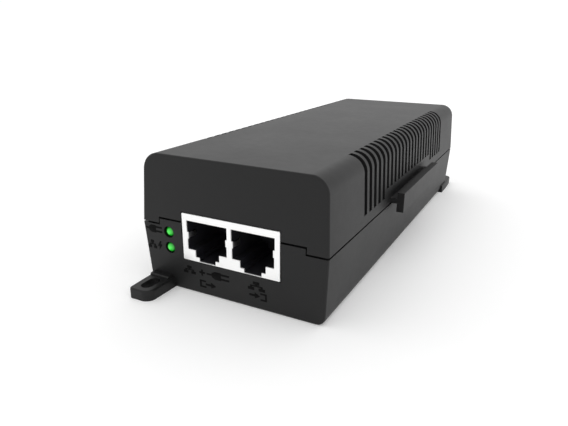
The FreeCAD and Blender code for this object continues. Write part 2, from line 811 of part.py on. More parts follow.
def port_shield():
    """The plated steel can of the double jack, open at the back and below."""
    body = new_body("shield")
    outline = sketch(body, "shield_outline", "XZ_Plane", f"-{JACK_FACE}")
    rectangle(outline, JACK_LEFT, JACK_RIGHT, BOARD_TOP, JACK_TOP)
    pad(body, "shield_blank", outline, "jack_depth", reverse=True)
    inside = sketch(body, "shield_inside_outline", "XZ_Plane", f"-({JACK_FACE} + shield_thickness)")
    rectangle(inside, f"{JACK_LEFT} + shield_thickness", f"{JACK_RIGHT} - shield_thickness",
              f"{BOARD_TOP} - shield_thickness", f"{JACK_TOP} - shield_thickness")
    pocket(body, "shield_inside", inside, "jack_depth")
    mouths = sketch(body, "shield_mouths_outline", "XZ_Plane", f"-({JACK_FACE} - shield_thickness)")
    for side in PORT_SIDES:
        port_outline(mouths, side)
    pocket(body, "shield_mouths", mouths, "3 * shield_thickness")
    springs = sketch(body, "shield_springs_outline", "XZ_Plane", f"-{JACK_FACE}")
    for side in PORT_SIDES:
        for edge in (-1, 1):
            wall_x = f"jack_shift + {side} * port_pitch / 2 + {edge} * port_width / 2"
            foot = f"{BOARD_TOP} + shield_spring_foot"
            rectangle(springs, wall_x, f"{wall_x} - {edge} * shield_spring_width",
                      foot, f"{foot} + shield_spring_height")
    pad(body, "shield_springs", springs, "shield_spring_length", reverse=True)
    return node("port_shield", body)


def port_insert():
    """The moulded housing inside the can, with the two port cavities."""
    body = new_body("insert")
    outline = sketch(body, "insert_outline", "XZ_Plane", f"-({JACK_FACE} + shield_thickness)")
    rectangle(outline, f"{JACK_LEFT} + shield_thickness", f"{JACK_RIGHT} - shield_thickness",
              BOARD_TOP, f"{JACK_TOP} - shield_thickness")
    pad(body, "insert_blank", outline, "jack_depth - shield_thickness", reverse=True)
    cavities = sketch(body, "insert_cavities_outline", "XZ_Plane", f"-{JACK_FACE}")
    for side in PORT_SIDES:
        port_outline(cavities, side)
    pocket(body, "insert_cavities", cavities, "port_depth")
    return node("port_insert", body)


def port_contacts():
    """Eight spring wires in the roof of each port, sloping down towards the back."""
    wires = []
    start = f"({JACK_FACE} + contact_start)"
    foot_end = f"({start} + contact_foot)"
    end = f"({foot_end} + contact_run)"
    for side in PORT_SIDES:
        body = new_body("left_contacts" if side < 0 else "right_contacts")
        body.AllowCompound = True
        first_x = f"jack_shift + {side} * port_pitch / 2 - 3.5 * contact_pitch - contact_width / 2"
        outline = sketch(body, f"{body.Name}_outline", "YZ_Plane", first_x)
        polygon(outline, [
            (start, PORT_ROOF), (start, f"{PORT_ROOF} - contact_thickness"),
            (foot_end, f"{PORT_ROOF} - contact_thickness"),
            (end, f"{PORT_ROOF} - contact_drop - contact_thickness"),
            (f"{end} + contact_thickness / 3", f"{PORT_ROOF} - contact_drop"),
            (f"{foot_end} + contact_thickness / 3", PORT_ROOF),
        ])
        wire = pad(body, f"{body.Name}_wire", outline, "contact_width")
        pattern = body.newObject("PartDesign::LinearPattern", f"{body.Name}_row")
        pattern.Originals = [wire]
        axis = next(item for item in body.Origin.OriginFeatures if item.Role == "X_Axis")
        pattern.Direction = (axis, [""])
        pattern.Occurrences = 8
        bind(pattern, Length="7 * contact_pitch")
        body.Tip = pattern
        wires.append(body)
    return node("port_contacts", group("contacts", wires))


# Indicator lamps

LED_TIP = f"({FRONT} + led_setback)"
LED_BACK = f"({LED_TIP} + led_length)"


def led(label, rise, row):
    """A round lamp with a domed tip, a flange and two bent leads down to the board."""
    height = f"{BOARD_TOP} + {rise}"
    ball = DOC.addObject("Part::Sphere", f"{label}_dome")
    bind(ball, Radius="led_radius")
    place(ball, "-led_x", f"{LED_TIP} + led_radius", height)
    lens = rod(f"{label}_lens", "led_radius", "led_length - led_radius", "-led_x", f"{LED_TIP} + led_radius",
               height, axis="Y")
    flange = rod(f"{label}_flange", "led_radius + led_flange_rim", "led_flange", "-led_x", LED_BACK,
                 height, axis="Y")
    pieces = [ball, lens, flange]
    run = f"(led_lead_run * {row})"
    for side in (-1, 1):
        x = f"-led_x + {side} * led_lead_pitch / 2"
        back = f"{LED_BACK} + led_flange"
        pieces.append(block(f"{label}_lead_{side + 2}", "led_lead", run, "led_lead",
                            x, f"{back} + {run} / 2", f"{height} - led_lead / 2"))
        pieces.append(block(f"{label}_leg_{side + 2}", "led_lead", "led_lead", f"{rise} + led_lead / 2",
                            x, f"{back} + {run}", BOARD_TOP))
    return node(label, fuse(f"{label}_whole", pieces))


def led_holder():
    """The moulded block that carries both lamps on the board behind the front wall."""
    front = f"({FRONT} + wall + led_holder_gap + {DRAFT_SLOPE} * ({BASE_RIM} - {BOARD_TOP}))"
    depth = f"({LED_BACK} - {front})"
    body = block("holder_blank", "led_holder_width", depth, "led_high + led_holder_top",
                 "-led_x", f"{front} + {depth} / 2", BOARD_TOP)
    bores = [rod(f"holder_bore_{rise}", "led_radius + led_bore_gap", f"{depth} + 2 * wall", "-led_x",
                 f"{front} - wall", f"{BOARD_TOP} + {rise}", axis="Y") for rise in ("led_low", "led_high")]
    return node("led_holder", cut("holder", body, fuse("holder_bores", bores)))


# Mains inlet

BLADES = (("line", -1, -1), ("neutral", 1, -1), ("earth", 0, 1))
CAVITY_FLOOR = f"({INLET_FACE} - inlet_cavity_depth)"


def inlet_body():
    """The inlet housing: a block with a cavity whose two upper corners are bevelled."""
    body = new_body("inlet")
    outline = sketch(body, "inlet_outline", "XZ_Plane", f"-{INLET_FACE}")
    rectangle(outline, "-inlet_width / 2", "inlet_width / 2", BOARD_TOP, INLET_TOP)
    pad(body, "inlet_blank", outline, "inlet_depth")
    cavity = sketch(body, "inlet_cavity_outline", "XZ_Plane", f"-{INLET_FACE}")
    side = "(inlet_width / 2 - inlet_wall)"
    top = f"({INLET_TOP} - inlet_wall)"
    foot = f"({BOARD_TOP} + inlet_wall)"
    polygon(cavity, [
        (f"-{side}", foot), (side, foot), (side, f"{top} - inlet_bevel"), (f"{side} - inlet_bevel", top),
        (f"-({side} - inlet_bevel)", top), (f"-{side}", f"{top} - inlet_bevel"),
    ])
    pocket(body, "inlet_cavity", cavity, "inlet_cavity_depth", reverse=True)
    slots = sketch(body, "blade_slots_outline", "XZ_Plane", f"-{CAVITY_FLOOR}")
    for _, across, up in BLADES:
        x = f"{across} * blade_spread"
        z = f"{INLET_MIDDLE} + {up} * blade_offset"
        rectangle(slots, f"{x} - blade_width / 2", f"{x} + blade_width / 2",
                  f"{z} - blade_height / 2", f"{z} + blade_height / 2")
    pocket(body, "blade_slots", slots, "inlet_depth - inlet_cavity_depth", reverse=True)
    return node("inlet_body", body)


def inlet_pins():
    """Three flat blades that pass through the inlet and turn down to the board behind it."""
    blades = []
    back = f"({INLET_FACE} - inlet_depth)"
    for name, across, up in BLADES:
        x = f"{across} * blade_spread"
        z = f"{INLET_MIDDLE} + {up} * blade_offset"
        tip = f"({CAVITY_FLOOR} + blade_length)"
        length = f"({tip} - {back} + blade_tail)"
        blade = block(f"{name}_blade", "blade_width", length, "blade_height",
                      x, f"{tip} - {length} / 2", f"{z} - blade_height / 2")
        tail = block(f"{name}_tail", "blade_width", "blade_tail", f"{z} - {BOARD_TOP}",
                     x, f"{back} - blade_tail / 2", BOARD_TOP)
        blades.append(fuse(f"{name}_pin", [blade, tail]))
    return node("inlet_pins", group("pins", blades))


# Mains side of the board

def is_upright(edge):
    """True for a straight edge along Z."""
    low, high = edge.Vertexes[0].Point, edge.Vertexes[-1].Point
    return len(edge.Vertexes) == 2 and math.hypot(low.x - high.x, low.y - high.y) < 1e-6


def mains_fuse():
    body = rod("fuse_can", "fuse_radius", "fuse_height", "fuse_x", "fuse_y", BOARD_TOP)
    return node("mains_fuse", body)


def lead_pair(name, lead, pitch, height, x, y, along_y):
    """Two square leads that stand on the board."""
    leads = []
    for side in (-1, 1):
        shift = f"{side} * ({pitch}) / 2"
        lead_x, lead_y = (x, f"{y} + {shift}") if along_y else (f"{x} + {shift}", y)
        leads.append(block(f"{name}_{side + 2}", lead, lead, height, lead_x, lead_y, BOARD_TOP))
    return leads


def disc_part(label, prefix):
    """A coated disc standing on two leads, facing across the case."""
    radius, thickness = f"{prefix}_radius", f"{prefix}_thickness"
    x, y = f"{prefix}_x", f"{prefix}_y"
    disc = rod(f"{label}_disc", radius, thickness, f"{x} - {thickness} / 2", y,
               f"{BOARD_TOP} + disc_stand + {radius}", axis="X")
    leads = lead_pair(f"{label}_lead", "disc_lead", "disc_lead_pitch", f"disc_stand + {radius}", x, y, True)
    return node(label, fuse(f"{label}_whole", [disc] + leads))


def x_capacitor():
    box = block("xcap_box", "xcap_width", "xcap_depth", "xcap_height", "xcap_x", "xcap_y", BOARD_TOP)
    return node("x_capacitor", soften("xcap", box, "part_edge_radius", is_upright))


CHOKE_MIDDLE = f"({BOARD_TOP} + choke_radius + winding_build)"


def choke_core():
    ring = rod("choke_ring", "choke_radius", "choke_thickness", "choke_x", "choke_y - choke_thickness / 2",
               CHOKE_MIDDLE, axis="Y")
    bore = rod("choke_bore_tool", "choke_bore", "3 * choke_thickness", "choke_x",
               "choke_y - 3 * choke_thickness / 2", CHOKE_MIDDLE, axis="Y")
    return node("choke_core", cut("choke", ring, bore))


def choke_windings():
    """Two windings, each a sleeve over part of the ring."""
    windings = []
    depth = "(choke_thickness + 2 * winding_build)"
    for number in range(2):
        sector = rod(f"winding_outer_{number}", "choke_radius + winding_build", depth, "choke_x",
                     f"choke_y - {depth} / 2", CHOKE_MIDDLE, axis="Y")
        bind(sector, Angle="winding_angle")
        turn = FreeCAD.Rotation(FreeCAD.Vector(0, 1, 0), 180 * number + SIZES["winding_angle"] / 2 + 180)
        sector.Placement.Rotation = turn.multiply(AXES["Y"])
        hole = rod(f"winding_hole_{number}", "choke_bore - winding_build", f"3 * {depth}", "choke_x",
                   f"choke_y - 3 * {depth} / 2", CHOKE_MIDDLE, axis="Y")
        sleeve = cut(f"winding_sleeve_{number}", sector, hole)
        ring = rod(f"winding_ring_{number}", "choke_radius + winding_gap",
                   "choke_thickness + 2 * winding_gap", "choke_x",
                   "choke_y - choke_thickness / 2 - winding_gap", CHOKE_MIDDLE, axis="Y")
        bore = rod(f"winding_bore_{number}", "choke_bore - winding_gap", "3 * choke_thickness", "choke_x",
                   "choke_y - 3 * choke_thickness / 2", CHOKE_MIDDLE, axis="Y")
        windings.append(cut(f"winding_{number}", sleeve, cut(f"winding_core_{number}", ring, bore)))
    return node("choke_windings", group("windings", windings))


def bridge_rectifier():
    case = block("bridge_case", "bridge_width", "bridge_depth", "bridge_height", "bridge_x", "bridge_y",
                 f"{BOARD_TOP} + bridge_stand")
    leads = [block(f"bridge_lead_{i}", "bridge_lead", "bridge_lead", "bridge_stand + bridge_lead",
                   f"bridge_x + {i - 1.5} * bridge_lead_pitch", "bridge_y", BOARD_TOP) for i in range(4)]
    return node("bridge_rectifier", fuse("bridge", [case] + leads))


def can_capacitor(name, radius, height, x, y):
    """A round can with the rolled groove above its seal."""
    seal = rod(f"{name}_seal", radius, "can_seal", x, y, BOARD_TOP)
    neck = rod(f"{name}_neck", f"{radius} - can_groove", "can_seal", x, y, f"{BOARD_TOP} + can_seal")
    can = rod(f"{name}_can", radius, f"{height} - 2 * can_seal", x, y, f"{BOARD_TOP} + 2 * can_seal")
    return fuse(name, [seal, neck, can])


# Power stage

def transformer_core():
    """Two E-shaped halves meeting face to face: outer legs, yokes and a round centre leg."""
    window = "(core_height / 2 - core_yoke)"
    halves = []
    for name, foot, yoke_foot in (
        ("lower", f"{BOARD_TOP} + core_yoke", BOARD_TOP),
        ("upper", f"{BOARD_TOP} + core_height / 2", f"{BOARD_TOP} + core_height - core_yoke"),
    ):
        pieces = [block(f"{name}_yoke", "core_width", "core_thickness", "core_yoke", "core_x", "core_y",
                        yoke_foot)]
        for side in (-1, 1):
            pieces.append(block(f"{name}_leg_{side + 2}", "core_leg", "core_thickness", window,
                                f"core_x + {side} * (core_width - core_leg) / 2", "core_y", foot))
        pieces.append(rod(f"{name}_centre", "core_centre_radius", window, "core_x", "core_y", foot))
        halves.append(fuse(f"{name}_core", pieces))
    return node("transformer_core", group("core", halves))


def transformer_winding():
    """The wound bobbin round the centre leg."""
    height = "(core_height - 2 * core_yoke)"
    width = "(core_width - 2 * core_leg - 2 * coil_gap)"
    coil = block("coil_blank", width, "core_thickness + 2 * coil_bulge", height,
                 "core_x", "core_y", f"{BOARD_TOP} + core_yoke")
    rounded = soften("coil_rounded", coil, "core_leg", is_upright)
    bore = rod("coil_bore", "core_centre_radius + coil_gap", f"3 * {height}", "core_x", "core_y", BOARD_TOP)
    return node("transformer_winding", cut("coil", rounded, bore))


def heatsink(label, y, facing):
    """An L-shaped plate; facing is the side on which the device sits."""
    plate = block(f"{label}_plate", "sink_width", "sink_thickness", "sink_height", "sink_x", y, BOARD_TOP)
    foot = block(f"{label}_foot", "sink_width", "sink_foot", "sink_thickness", "sink_x",
                 f"{y} - ({facing}) * (sink_foot - sink_thickness) / 2", BOARD_TOP)
    hole = rod(f"{label}_hole", "device_screw_radius + device_hole_gap", "3 * sink_thickness", "sink_x",
               f"{y} - 1.5 * sink_thickness", DEVICE_HOLE, axis="Y")
    return node(label, cut(f"{label}_whole", fuse(f"{label}_blank", [plate, foot]), hole))


DEVICE_HOLE = f"({BOARD_TOP} + device_lift + device_height + device_tab_rise / 2)"


def power_device(label, y, facing):
    """A three-lead power device with its tab against the heatsink."""
    face = f"({y} + ({facing}) * sink_thickness / 2)"
    case = block(f"{label}_case", "device_width", "device_body", "device_height", "sink_x",
                 f"{face} + ({facing}) * device_body / 2", f"{BOARD_TOP} + device_lift")
    tab = block(f"{label}_tab", "device_width", "device_tab", "device_height + device_tab_rise", "sink_x",
                f"{face} + ({facing}) * device_tab / 2", f"{BOARD_TOP} + device_lift")
    leads = [block(f"{label}_lead_{i}", "device_lead", "device_lead", "device_lift + device_lead",
                   f"sink_x + {i - 1} * device_lead_pitch", f"{face} + ({facing}) * device_body / 2",
                   BOARD_TOP)
             for i in range(3)]
    hole = rod(f"{label}_hole", "device_screw_radius + device_hole_gap", "4 * device_body", "sink_x",
               f"{face} - 2 * device_body", DEVICE_HOLE, axis="Y")
    return node(label, cut(f"{label}_whole", fuse(f"{label}_blank", [case, tab] + leads), hole))


def heatsink_screws():
    """One screw through each tab and heatsink, with its head on the tab."""
    screws = []
    for name, y, facing in SINKS:
        tab_face = f"({y} + ({facing}) * (sink_thickness / 2 + device_tab))"
        length = "(sink_thickness + device_tab)"
        shank_y = f"{tab_face} - {length}" if facing > 0 else tab_face
        head_y = tab_face if facing > 0 else f"{tab_face} - device_screw_head_height"
        shank = rod(f"{name}_screw_shank", "device_screw_radius", length, "sink_x", shank_y, DEVICE_HOLE,
                    axis="Y")
        head = rod(f"{name}_screw_head", "device_screw_head", "device_screw_head_height", "sink_x", head_y,
                   DEVICE_HOLE, axis="Y")
        screws.append(fuse(f"{name}_screw", [shank, head]))
    return node("heatsink_screws", group("sink_screws", screws))


SINKS = (("primary", "primary_sink_y", 1), ("secondary", "secondary_sink_y", -1))


# Secondary side and logic

def output_capacitors():
    cans = [can_capacitor(f"output_cap_{i}", "output_cap_radius", "output_cap_height", "output_cap_x",
                          f"output_cap_y + {i} * output_cap_pitch") for i in range(SIZES["output_cap_count"])]
    return node("output_capacitors", group("output_caps", cans))


def output_inductor():
    """A drum: two flanges with a wound neck."""
    low = rod("inductor_low", "inductor_radius", "inductor_flange", "inductor_x", "inductor_y", BOARD_TOP)
    neck = rod("inductor_winding", "inductor_neck", "inductor_height", "inductor_x", "inductor_y", BOARD_TOP)
    high = rod("inductor_high", "inductor_radius", "inductor_flange", "inductor_x", "inductor_y",
               f"{BOARD_TOP} + inductor_height - inductor_flange")
    return node("output_inductor", fuse("inductor", [low, neck, high]))


def chip(label, prefix, pins_per_side):
    """A flat package with a row of pins along each long side."""
    width, depth, height = (f"{prefix}_{word}" for word in ("width", "depth", "height"))
    x, y = f"{prefix}_x", f"{prefix}_y"
    pieces = [block(f"{label}_case", width, depth, height, x, y, f"{BOARD_TOP}")]
    for i in range(pins_per_side):
        for side in (-1, 1):
            pin_y = f"{y} + ({depth}) * {(i + 0.5) / pins_per_side - 0.5}"
            pieces.append(block(f"{label}_pin_{i}_{side + 1}", "2 * pin_reach", "pin_width", "pin_thickness",
                                f"{x} + {side} * ({width}) / 2", pin_y, BOARD_TOP))
    return node(label, fuse(f"{label}_whole", pieces))


def build():
    base_case()
    top_cover()
    case_screws()
    rating_label()
    circuit_board()
    insulation_sheet()
    port_shield()
    port_insert()
    port_contacts()
    led_holder()
    led("power_led", "led_high", 2)
    led("poe_led", "led_low", 1)
    inlet_body()
    inlet_pins()
    mains_fuse()
    disc_part("surge_varistor", "varistor")
    disc_part("ntc_thermistor", "ntc")
    x_capacitor()
    choke_core()
    choke_windings()
    bridge_rectifier()
    node("bulk_capacitor", can_capacitor("bulk_cap", "bulk_radius", "bulk_height", "bulk_x", "bulk_y"))
    transformer_core()
    transformer_winding()
    heatsink("primary_heatsink", "primary_sink_y", 1)
    power_device("primary_transistor", "primary_sink_y", 1)
    heatsink("secondary_heatsink", "secondary_sink_y", -1)
    power_device("output_rectifier", "secondary_sink_y", -1)
    heatsink_screws()
    output_capacitors()
    output_inductor()
    disc_part("y_capacitor", "ycap")
    chip("optocoupler", "opto", 2)
    chip("controller_chip", "chip", 4)
    chip("poe_chip", "poe_chip", 8)
    chip("data_magnetics", "magnetics", 12)


def check_document():
    """Stop if any object failed or any sub-part has a null or invalid shape."""
    for thing in DOC.Objects:
        if "Invalid" in thing.State or "Error" in thing.State:
            raise RuntimeError(f"{thing.Name} is {thing.State}")
    for piece in NODES:
        if piece.Shape.isNull() or not piece.Shape.isValid():
            raise RuntimeError(f"{piece.Label} has no valid shape")
        if not piece.Shape.Solids:
            raise RuntimeError(f"{piece.Label} has no solid")


def export():
    os.makedirs("parts", exist_ok=True)
    for piece in NODES:
        piece.Shape.exportStep(os.path.join("parts", f"{piece.Label}.step"))
        print(f"{piece.Label}: {len(piece.Shape.Solids)} solids, {piece.Shape.Volume:.1f} mm3")


build()
DOC.recompute()
check_document()
export()
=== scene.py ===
"""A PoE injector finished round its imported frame: case, ports, lamps, inlet, screws, label and board.

The file is laid out as a Blender add-on.
"""

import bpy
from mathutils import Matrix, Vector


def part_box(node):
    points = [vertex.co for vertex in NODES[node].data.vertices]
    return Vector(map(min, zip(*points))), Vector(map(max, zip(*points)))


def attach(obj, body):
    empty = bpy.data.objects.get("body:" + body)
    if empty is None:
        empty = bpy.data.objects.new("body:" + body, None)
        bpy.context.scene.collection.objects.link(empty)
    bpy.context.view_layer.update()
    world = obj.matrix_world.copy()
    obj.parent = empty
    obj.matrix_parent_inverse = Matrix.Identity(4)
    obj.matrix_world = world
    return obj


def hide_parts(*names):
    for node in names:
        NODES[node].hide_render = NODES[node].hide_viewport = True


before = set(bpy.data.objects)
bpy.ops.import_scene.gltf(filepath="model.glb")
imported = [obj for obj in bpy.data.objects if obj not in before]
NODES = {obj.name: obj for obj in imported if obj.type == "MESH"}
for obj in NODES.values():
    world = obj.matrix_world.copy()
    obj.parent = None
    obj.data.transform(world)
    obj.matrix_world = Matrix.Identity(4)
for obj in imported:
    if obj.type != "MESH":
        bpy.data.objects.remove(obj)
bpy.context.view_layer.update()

import math

import bmesh
import bpy
from bpy.props import FloatProperty, FloatVectorProperty, PointerProperty
from mathutils import Matrix, Vector

bl_info = {
    "name": "PoE Injector",
    "version": (1, 0, 0),
    "blender": (4, 5, 0),
    "location": "3D View > Sidebar > Injector",
    "description": "Builds the finished look of a PoE injector round its packed frame",
    "category": "Object",
}

MM = 0.001
BODY = "root"


def span(node):
    """The lowest and highest corners of a node, in millimetres."""
    low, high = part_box(node)
    return low / MM, high / MM


def extent(node):
    """The lowest and highest corners of a node and the middle between them."""
    low, high = span(node)
    return low, high, (low + high) / 2


# Places read from the frame.  Pieces are shaped in millimetres, and finish_piece turns them to metres.
COVER_LOW, COVER_HIGH = span("top_cover")
BASE_LOW, BASE_HIGH = span("base_case")
JACK_LOW, JACK_HIGH = span("port_shield")
INLET_LOW, INLET_HIGH = span("inlet_body")
BOARD_LOW, BOARD_HIGH = span("circuit_board")
FRONT = COVER_LOW.y
BOARD_TOP = BOARD_HIGH.z

# Sizes of the case and the jack that no box gives.
DRAFT = math.radians(3)
LIP_HEIGHT = 2.0
BASE_RIM = BASE_HIGH.z - LIP_HEIGHT
PORT_PITCH = 13.97
PORT_WIDTH = 12.4
PORT_ROOF = BOARD_TOP + 11.3
PORT_MIDDLES = [(JACK_LOW.x + JACK_HIGH.x + side * PORT_PITCH) / 2 for side in (-1, 1)]
SHEET = 0.3
CONTACTS = 8
CONTACT_PITCH = 1.02

# The inlet's blades: the middle of each, across and up, and half the width and height of one.
BLADES = [(-7, 17.9), (7, 17.9), (0, 21.9)]
BLADE_HALF_WIDTH, BLADE_HALF_HEIGHT = 1, 2

# Leads: how low they reach, half the distance between a disc's two, and their radii.
LEAD_END = BOARD_LOW.z - 0.6
PIN_SPREAD = 2.5
THIN_LEAD, LEAD, CAN_LEAD, THICK_LEAD = 0.25, 0.3, 0.32, 0.35

# Where leads go through the board, noted as the parts are made, for their solder joints.
LEAD_PLACES = []


# Shader maths

class Wire:
    """A socket that takes part in Python expressions by adding Math nodes."""

    def __init__(self, tree, socket):
        self.tree = tree
        self.socket = socket

    def maths(self, operation, *values):
        node = self.tree.nodes.new("ShaderNodeMath")
        node.operation = operation
        for slot, value in zip(node.inputs, values):
            if isinstance(value, Wire):
                self.tree.links.new(value.socket, slot)
            else:
                slot.default_value = value
        return Wire(self.tree, node.outputs[0])

    def __add__(self, other):
        return self.maths("ADD", self, other)

    def __radd__(self, other):
        return self.maths("ADD", other, self)

    def __sub__(self, other):
        return self.maths("SUBTRACT", self, other)

    def __rsub__(self, other):
        return self.maths("SUBTRACT", other, self)

    def __mul__(self, other):
        return self.maths("MULTIPLY", self, other)

    def __rmul__(self, other):
        return self.maths("MULTIPLY", other, self)

    def __truediv__(self, other):
        return self.maths("DIVIDE", self, other)

    def __mod__(self, other):
        return self.maths("FLOORED_MODULO", self, other)

    def __abs__(self):
        return self.maths("ABSOLUTE", self)

    def above(self, other):
        return self.maths("GREATER_THAN", self, other)

    def below(self, other):
        return self.maths("LESS_THAN", self, other)

    def largest(self, other):
        return self.maths("MAXIMUM", self, other)

    def root(self):
        return self.maths("SQRT", self)


class Finish:
    """A material with its surface shader, and the one method that adds any other node."""

    def __init__(self, name, **constants):
        self.material = bpy.data.materials.new(name)
        self.material.use_nodes = True
        self.tree = self.material.node_tree
        self.tree.nodes.clear()
        self.surface = self.node("BsdfPrincipled")
        for socket, value in constants.items():
            self.surface.inputs[socket.replace("_", " ")].default_value = value
        self.node("OutputMaterial", sockets={"Surface": self.surface.outputs[0]})

    def node(self, kind, settings=None, sockets=None):
        """Add a node: its settings first, then the values or links of its sockets."""
        node = self.tree.nodes.new("ShaderNode" + kind)
        for key, value in (settings or {}).items():
            if key == "stops":
                for _ in value[2:]:
                    node.color_ramp.elements.new(0.5)
                for element, (place, colour) in zip(node.color_ramp.elements, value):
                    element.position = place
                    element.color = colour
            else:
                setattr(node, key, value)
        for key, value in (sockets or {}).items():
            self.feed(node.inputs[key], value)
        return node

    def feed(self, socket, value):
        if isinstance(value, Wire):
            self.tree.links.new(value.socket, socket)
        elif isinstance(value, bpy.types.NodeSocket):
            self.tree.links.new(value, socket)
        else:
            socket.default_value = value

    def place(self):
        """The object's own coordinates in millimetres, whole and as three numbers."""
        metres = self.node("TexCoord").outputs["Object"]
        whole = self.node("VectorMath", {"operation": "SCALE"}, {0: metres, "Scale": 1 / MM}).outputs[0]
        parts = self.node("SeparateXYZ", sockets={"Vector": whole})
        return (whole, *(Wire(self.tree, parts.outputs[i]) for i in range(3)))

    def stretch(self, where, scale):
        return self.node("Mapping", sockets={"Vector": where, "Scale": scale}).outputs[0]

    def noise(self, where, size, detail=2.0, roughness=0.5):
        """Noise whose grains are about the given size in millimetres."""
        node = self.node("TexNoise", sockets={
            "Vector": where, "Scale": 1 / size, "Detail": detail, "Roughness": roughness})
        return Wire(self.tree, node.outputs["Fac"])

    def ramp(self, factor, *stops):
        return self.node("ValToRGB", {"stops": stops}, {"Fac": factor}).outputs["Color"]

    def mix(self, factor, first, second):
        """Mix two colours."""
        return self.node("Mix", {"data_type": "RGBA"}, {0: factor, 6: first, 7: second}).outputs[2]

    def bump(self, height, depth, strength=1.0):
        node = self.node("Bump", sockets={
            "Height": height, "Distance": depth * MM, "Strength": strength})
        self.feed(self.surface.inputs["Normal"], node.outputs["Normal"])

    def vary(self, **sockets):
        """Feed what changes over the surface."""
        for name, value in sockets.items():
            self.feed(self.surface.inputs[name.replace("_", " ")], value)


def shade(colour, factor=1.0):
    return (colour[0] * factor, colour[1] * factor, colour[2] * factor, 1.0)


# Mesh helpers

def finish_piece(name, bm, finish, replaces=(), angle=35):
    """Turn a bmesh into a piece of the object that rides on the case."""
    bmesh.ops.remove_doubles(bm, verts=bm.verts, dist=1e-4)
    bmesh.ops.recalc_face_normals(bm, faces=bm.faces)
    bmesh.ops.scale(bm, vec=(MM, MM, MM), verts=bm.verts)
    mesh = bpy.data.meshes.new(name)
    bm.to_mesh(mesh)
    bm.free()
    mesh.materials.append(finish.material)
    mesh.shade_smooth()
    mesh.set_sharp_from_angle(angle=math.radians(angle))
    piece = bpy.data.objects.new(name, mesh)
    bpy.context.scene.collection.objects.link(piece)
    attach(piece, BODY)
    if replaces:
        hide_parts(*replaces)


def dress(node, finish):
    """Give a node of the frame a finish, leaving its mesh as it is."""
    for slot in NODES[node].material_slots:
        slot.material = finish.material


def join(bm, part):
    """Move a part's faces into a piece."""
    mesh = bpy.data.meshes.new("join")
    part.to_mesh(mesh)
    part.free()
    bm.from_mesh(mesh)
    bpy.data.meshes.remove(mesh)


def round_edges(bm, edges, width, segments=2):
    bmesh.ops.bevel(bm, geom=list(edges), offset=width, offset_type="OFFSET", segments=segments,
                    profile=0.5, affect="EDGES", clamp_overlap=True, material=-1)


def add_box(bm, low, high, bevel=0.0, segments=2):
    """A box between two corners, with rounded edges if asked."""
    part = bmesh.new()
    low, high = Vector(low), Vector(high)
    place = Matrix.Translation((low + high) / 2) @ Matrix.Diagonal((*(high - low), 1))
    bmesh.ops.create_cube(part, size=1, matrix=place)
    if bevel:
        round_edges(part, part.edges, bevel, segments)
    join(bm, part)


# Turns that send a part's own z axis along the named direction.
TURNS = {
    "X": Matrix.Rotation(math.radians(90), 4, "Y"),
    "-X": Matrix.Rotation(math.radians(-90), 4, "Y"),
    "Y": Matrix.Rotation(math.radians(-90), 4, "X"),
    "-Y": Matrix.Rotation(math.radians(90), 4, "X"),
    "Z": Matrix.Identity(4),
    "-Z": Matrix.Rotation(math.radians(180), 4, "X"),
}


def set_at(place, axis):
    return Matrix.Translation(place) @ TURNS[axis]


def add_turned(bm, profile, matrix, steps=32, closed=False):
    """Spin a profile of (radius, height) points round its axis."""
    part = bmesh.new()
    points = [part.verts.new((radius, 0, height)) for radius, height in profile]
    pairs = list(zip(points, points[1:]))
    if closed:
        pairs.append((points[-1], points[0]))
    edges = [part.edges.new(pair) for pair in pairs]
    bmesh.ops.spin(part, geom=points + edges, cent=(0, 0, 0), axis=(0, 0, 1), angle=2 * math.pi,
                   steps=steps, use_merge=True, use_duplicate=False)
    bmesh.ops.remove_doubles(part, verts=part.verts, dist=1e-4)
    bmesh.ops.transform(part, matrix=matrix, verts=part.verts)
    join(bm, part)


def arc(centre, radius, start, end, count=4):
    """Points of an arc from one angle to another, in degrees."""
    points = []
    for i in range(count + 1):
        angle = math.radians(start + (end - start) * i / count)
        points.append((centre[0] + radius * math.cos(angle), centre[1] + radius * math.sin(angle)))
    return points


def drum_profile(radius, length, edge):
    """The profile of a closed drum with both rims rounded."""
    return ([(0, 0)] + arc((radius - edge, edge), edge, -90, 0)
            + arc((radius - edge, length - edge), edge, 0, 90) + [(0, length)])


def add_tube(bm, points, radius):
    """A round wire that bends smoothly along a path."""
    curve = bpy.data.curves.new("wire", "CURVE")
    curve.dimensions = "3D"
    curve.bevel_depth = radius
    curve.bevel_resolution = 1
    curve.use_fill_caps = True
    curve.resolution_u = 4
    spline = curve.splines.new("NURBS")
    spline.points.add(len(points) - 1)
    for target, point in zip(spline.points, points):
        target.co = (*point, 1)
    spline.order_u = 3
    spline.use_endpoint_u = True
    holder = bpy.data.objects.new("wire", curve)
    mesh = bpy.data.meshes.new_from_object(holder)
    part = bmesh.new()
    part.from_mesh(mesh)
    bmesh.ops.remove_doubles(part, verts=part.verts, dist=1e-4)
    join(bm, part)
    bpy.data.objects.remove(holder)
    bpy.data.curves.remove(curve)
    bpy.data.meshes.remove(mesh)


def add_lead(bm, x, y, top, radius=LEAD):
    """A round lead from a part down through the board."""
    knee = (top + BOARD_TOP) / 2
    path = [(x, y, top), (x, y, knee + (top - knee) * 0.4), (x, y, knee), (x, y, LEAD_END)]
    add_tube(bm, path, radius)
    LEAD_PLACES.append((x, y))


def outline_edges(part, outline, height=0.0):
    points = [part.verts.new((x, y, height)) for x, y in outline]
    return [part.edges.new(pair) for pair in zip(points, points[1:] + points[:1])]


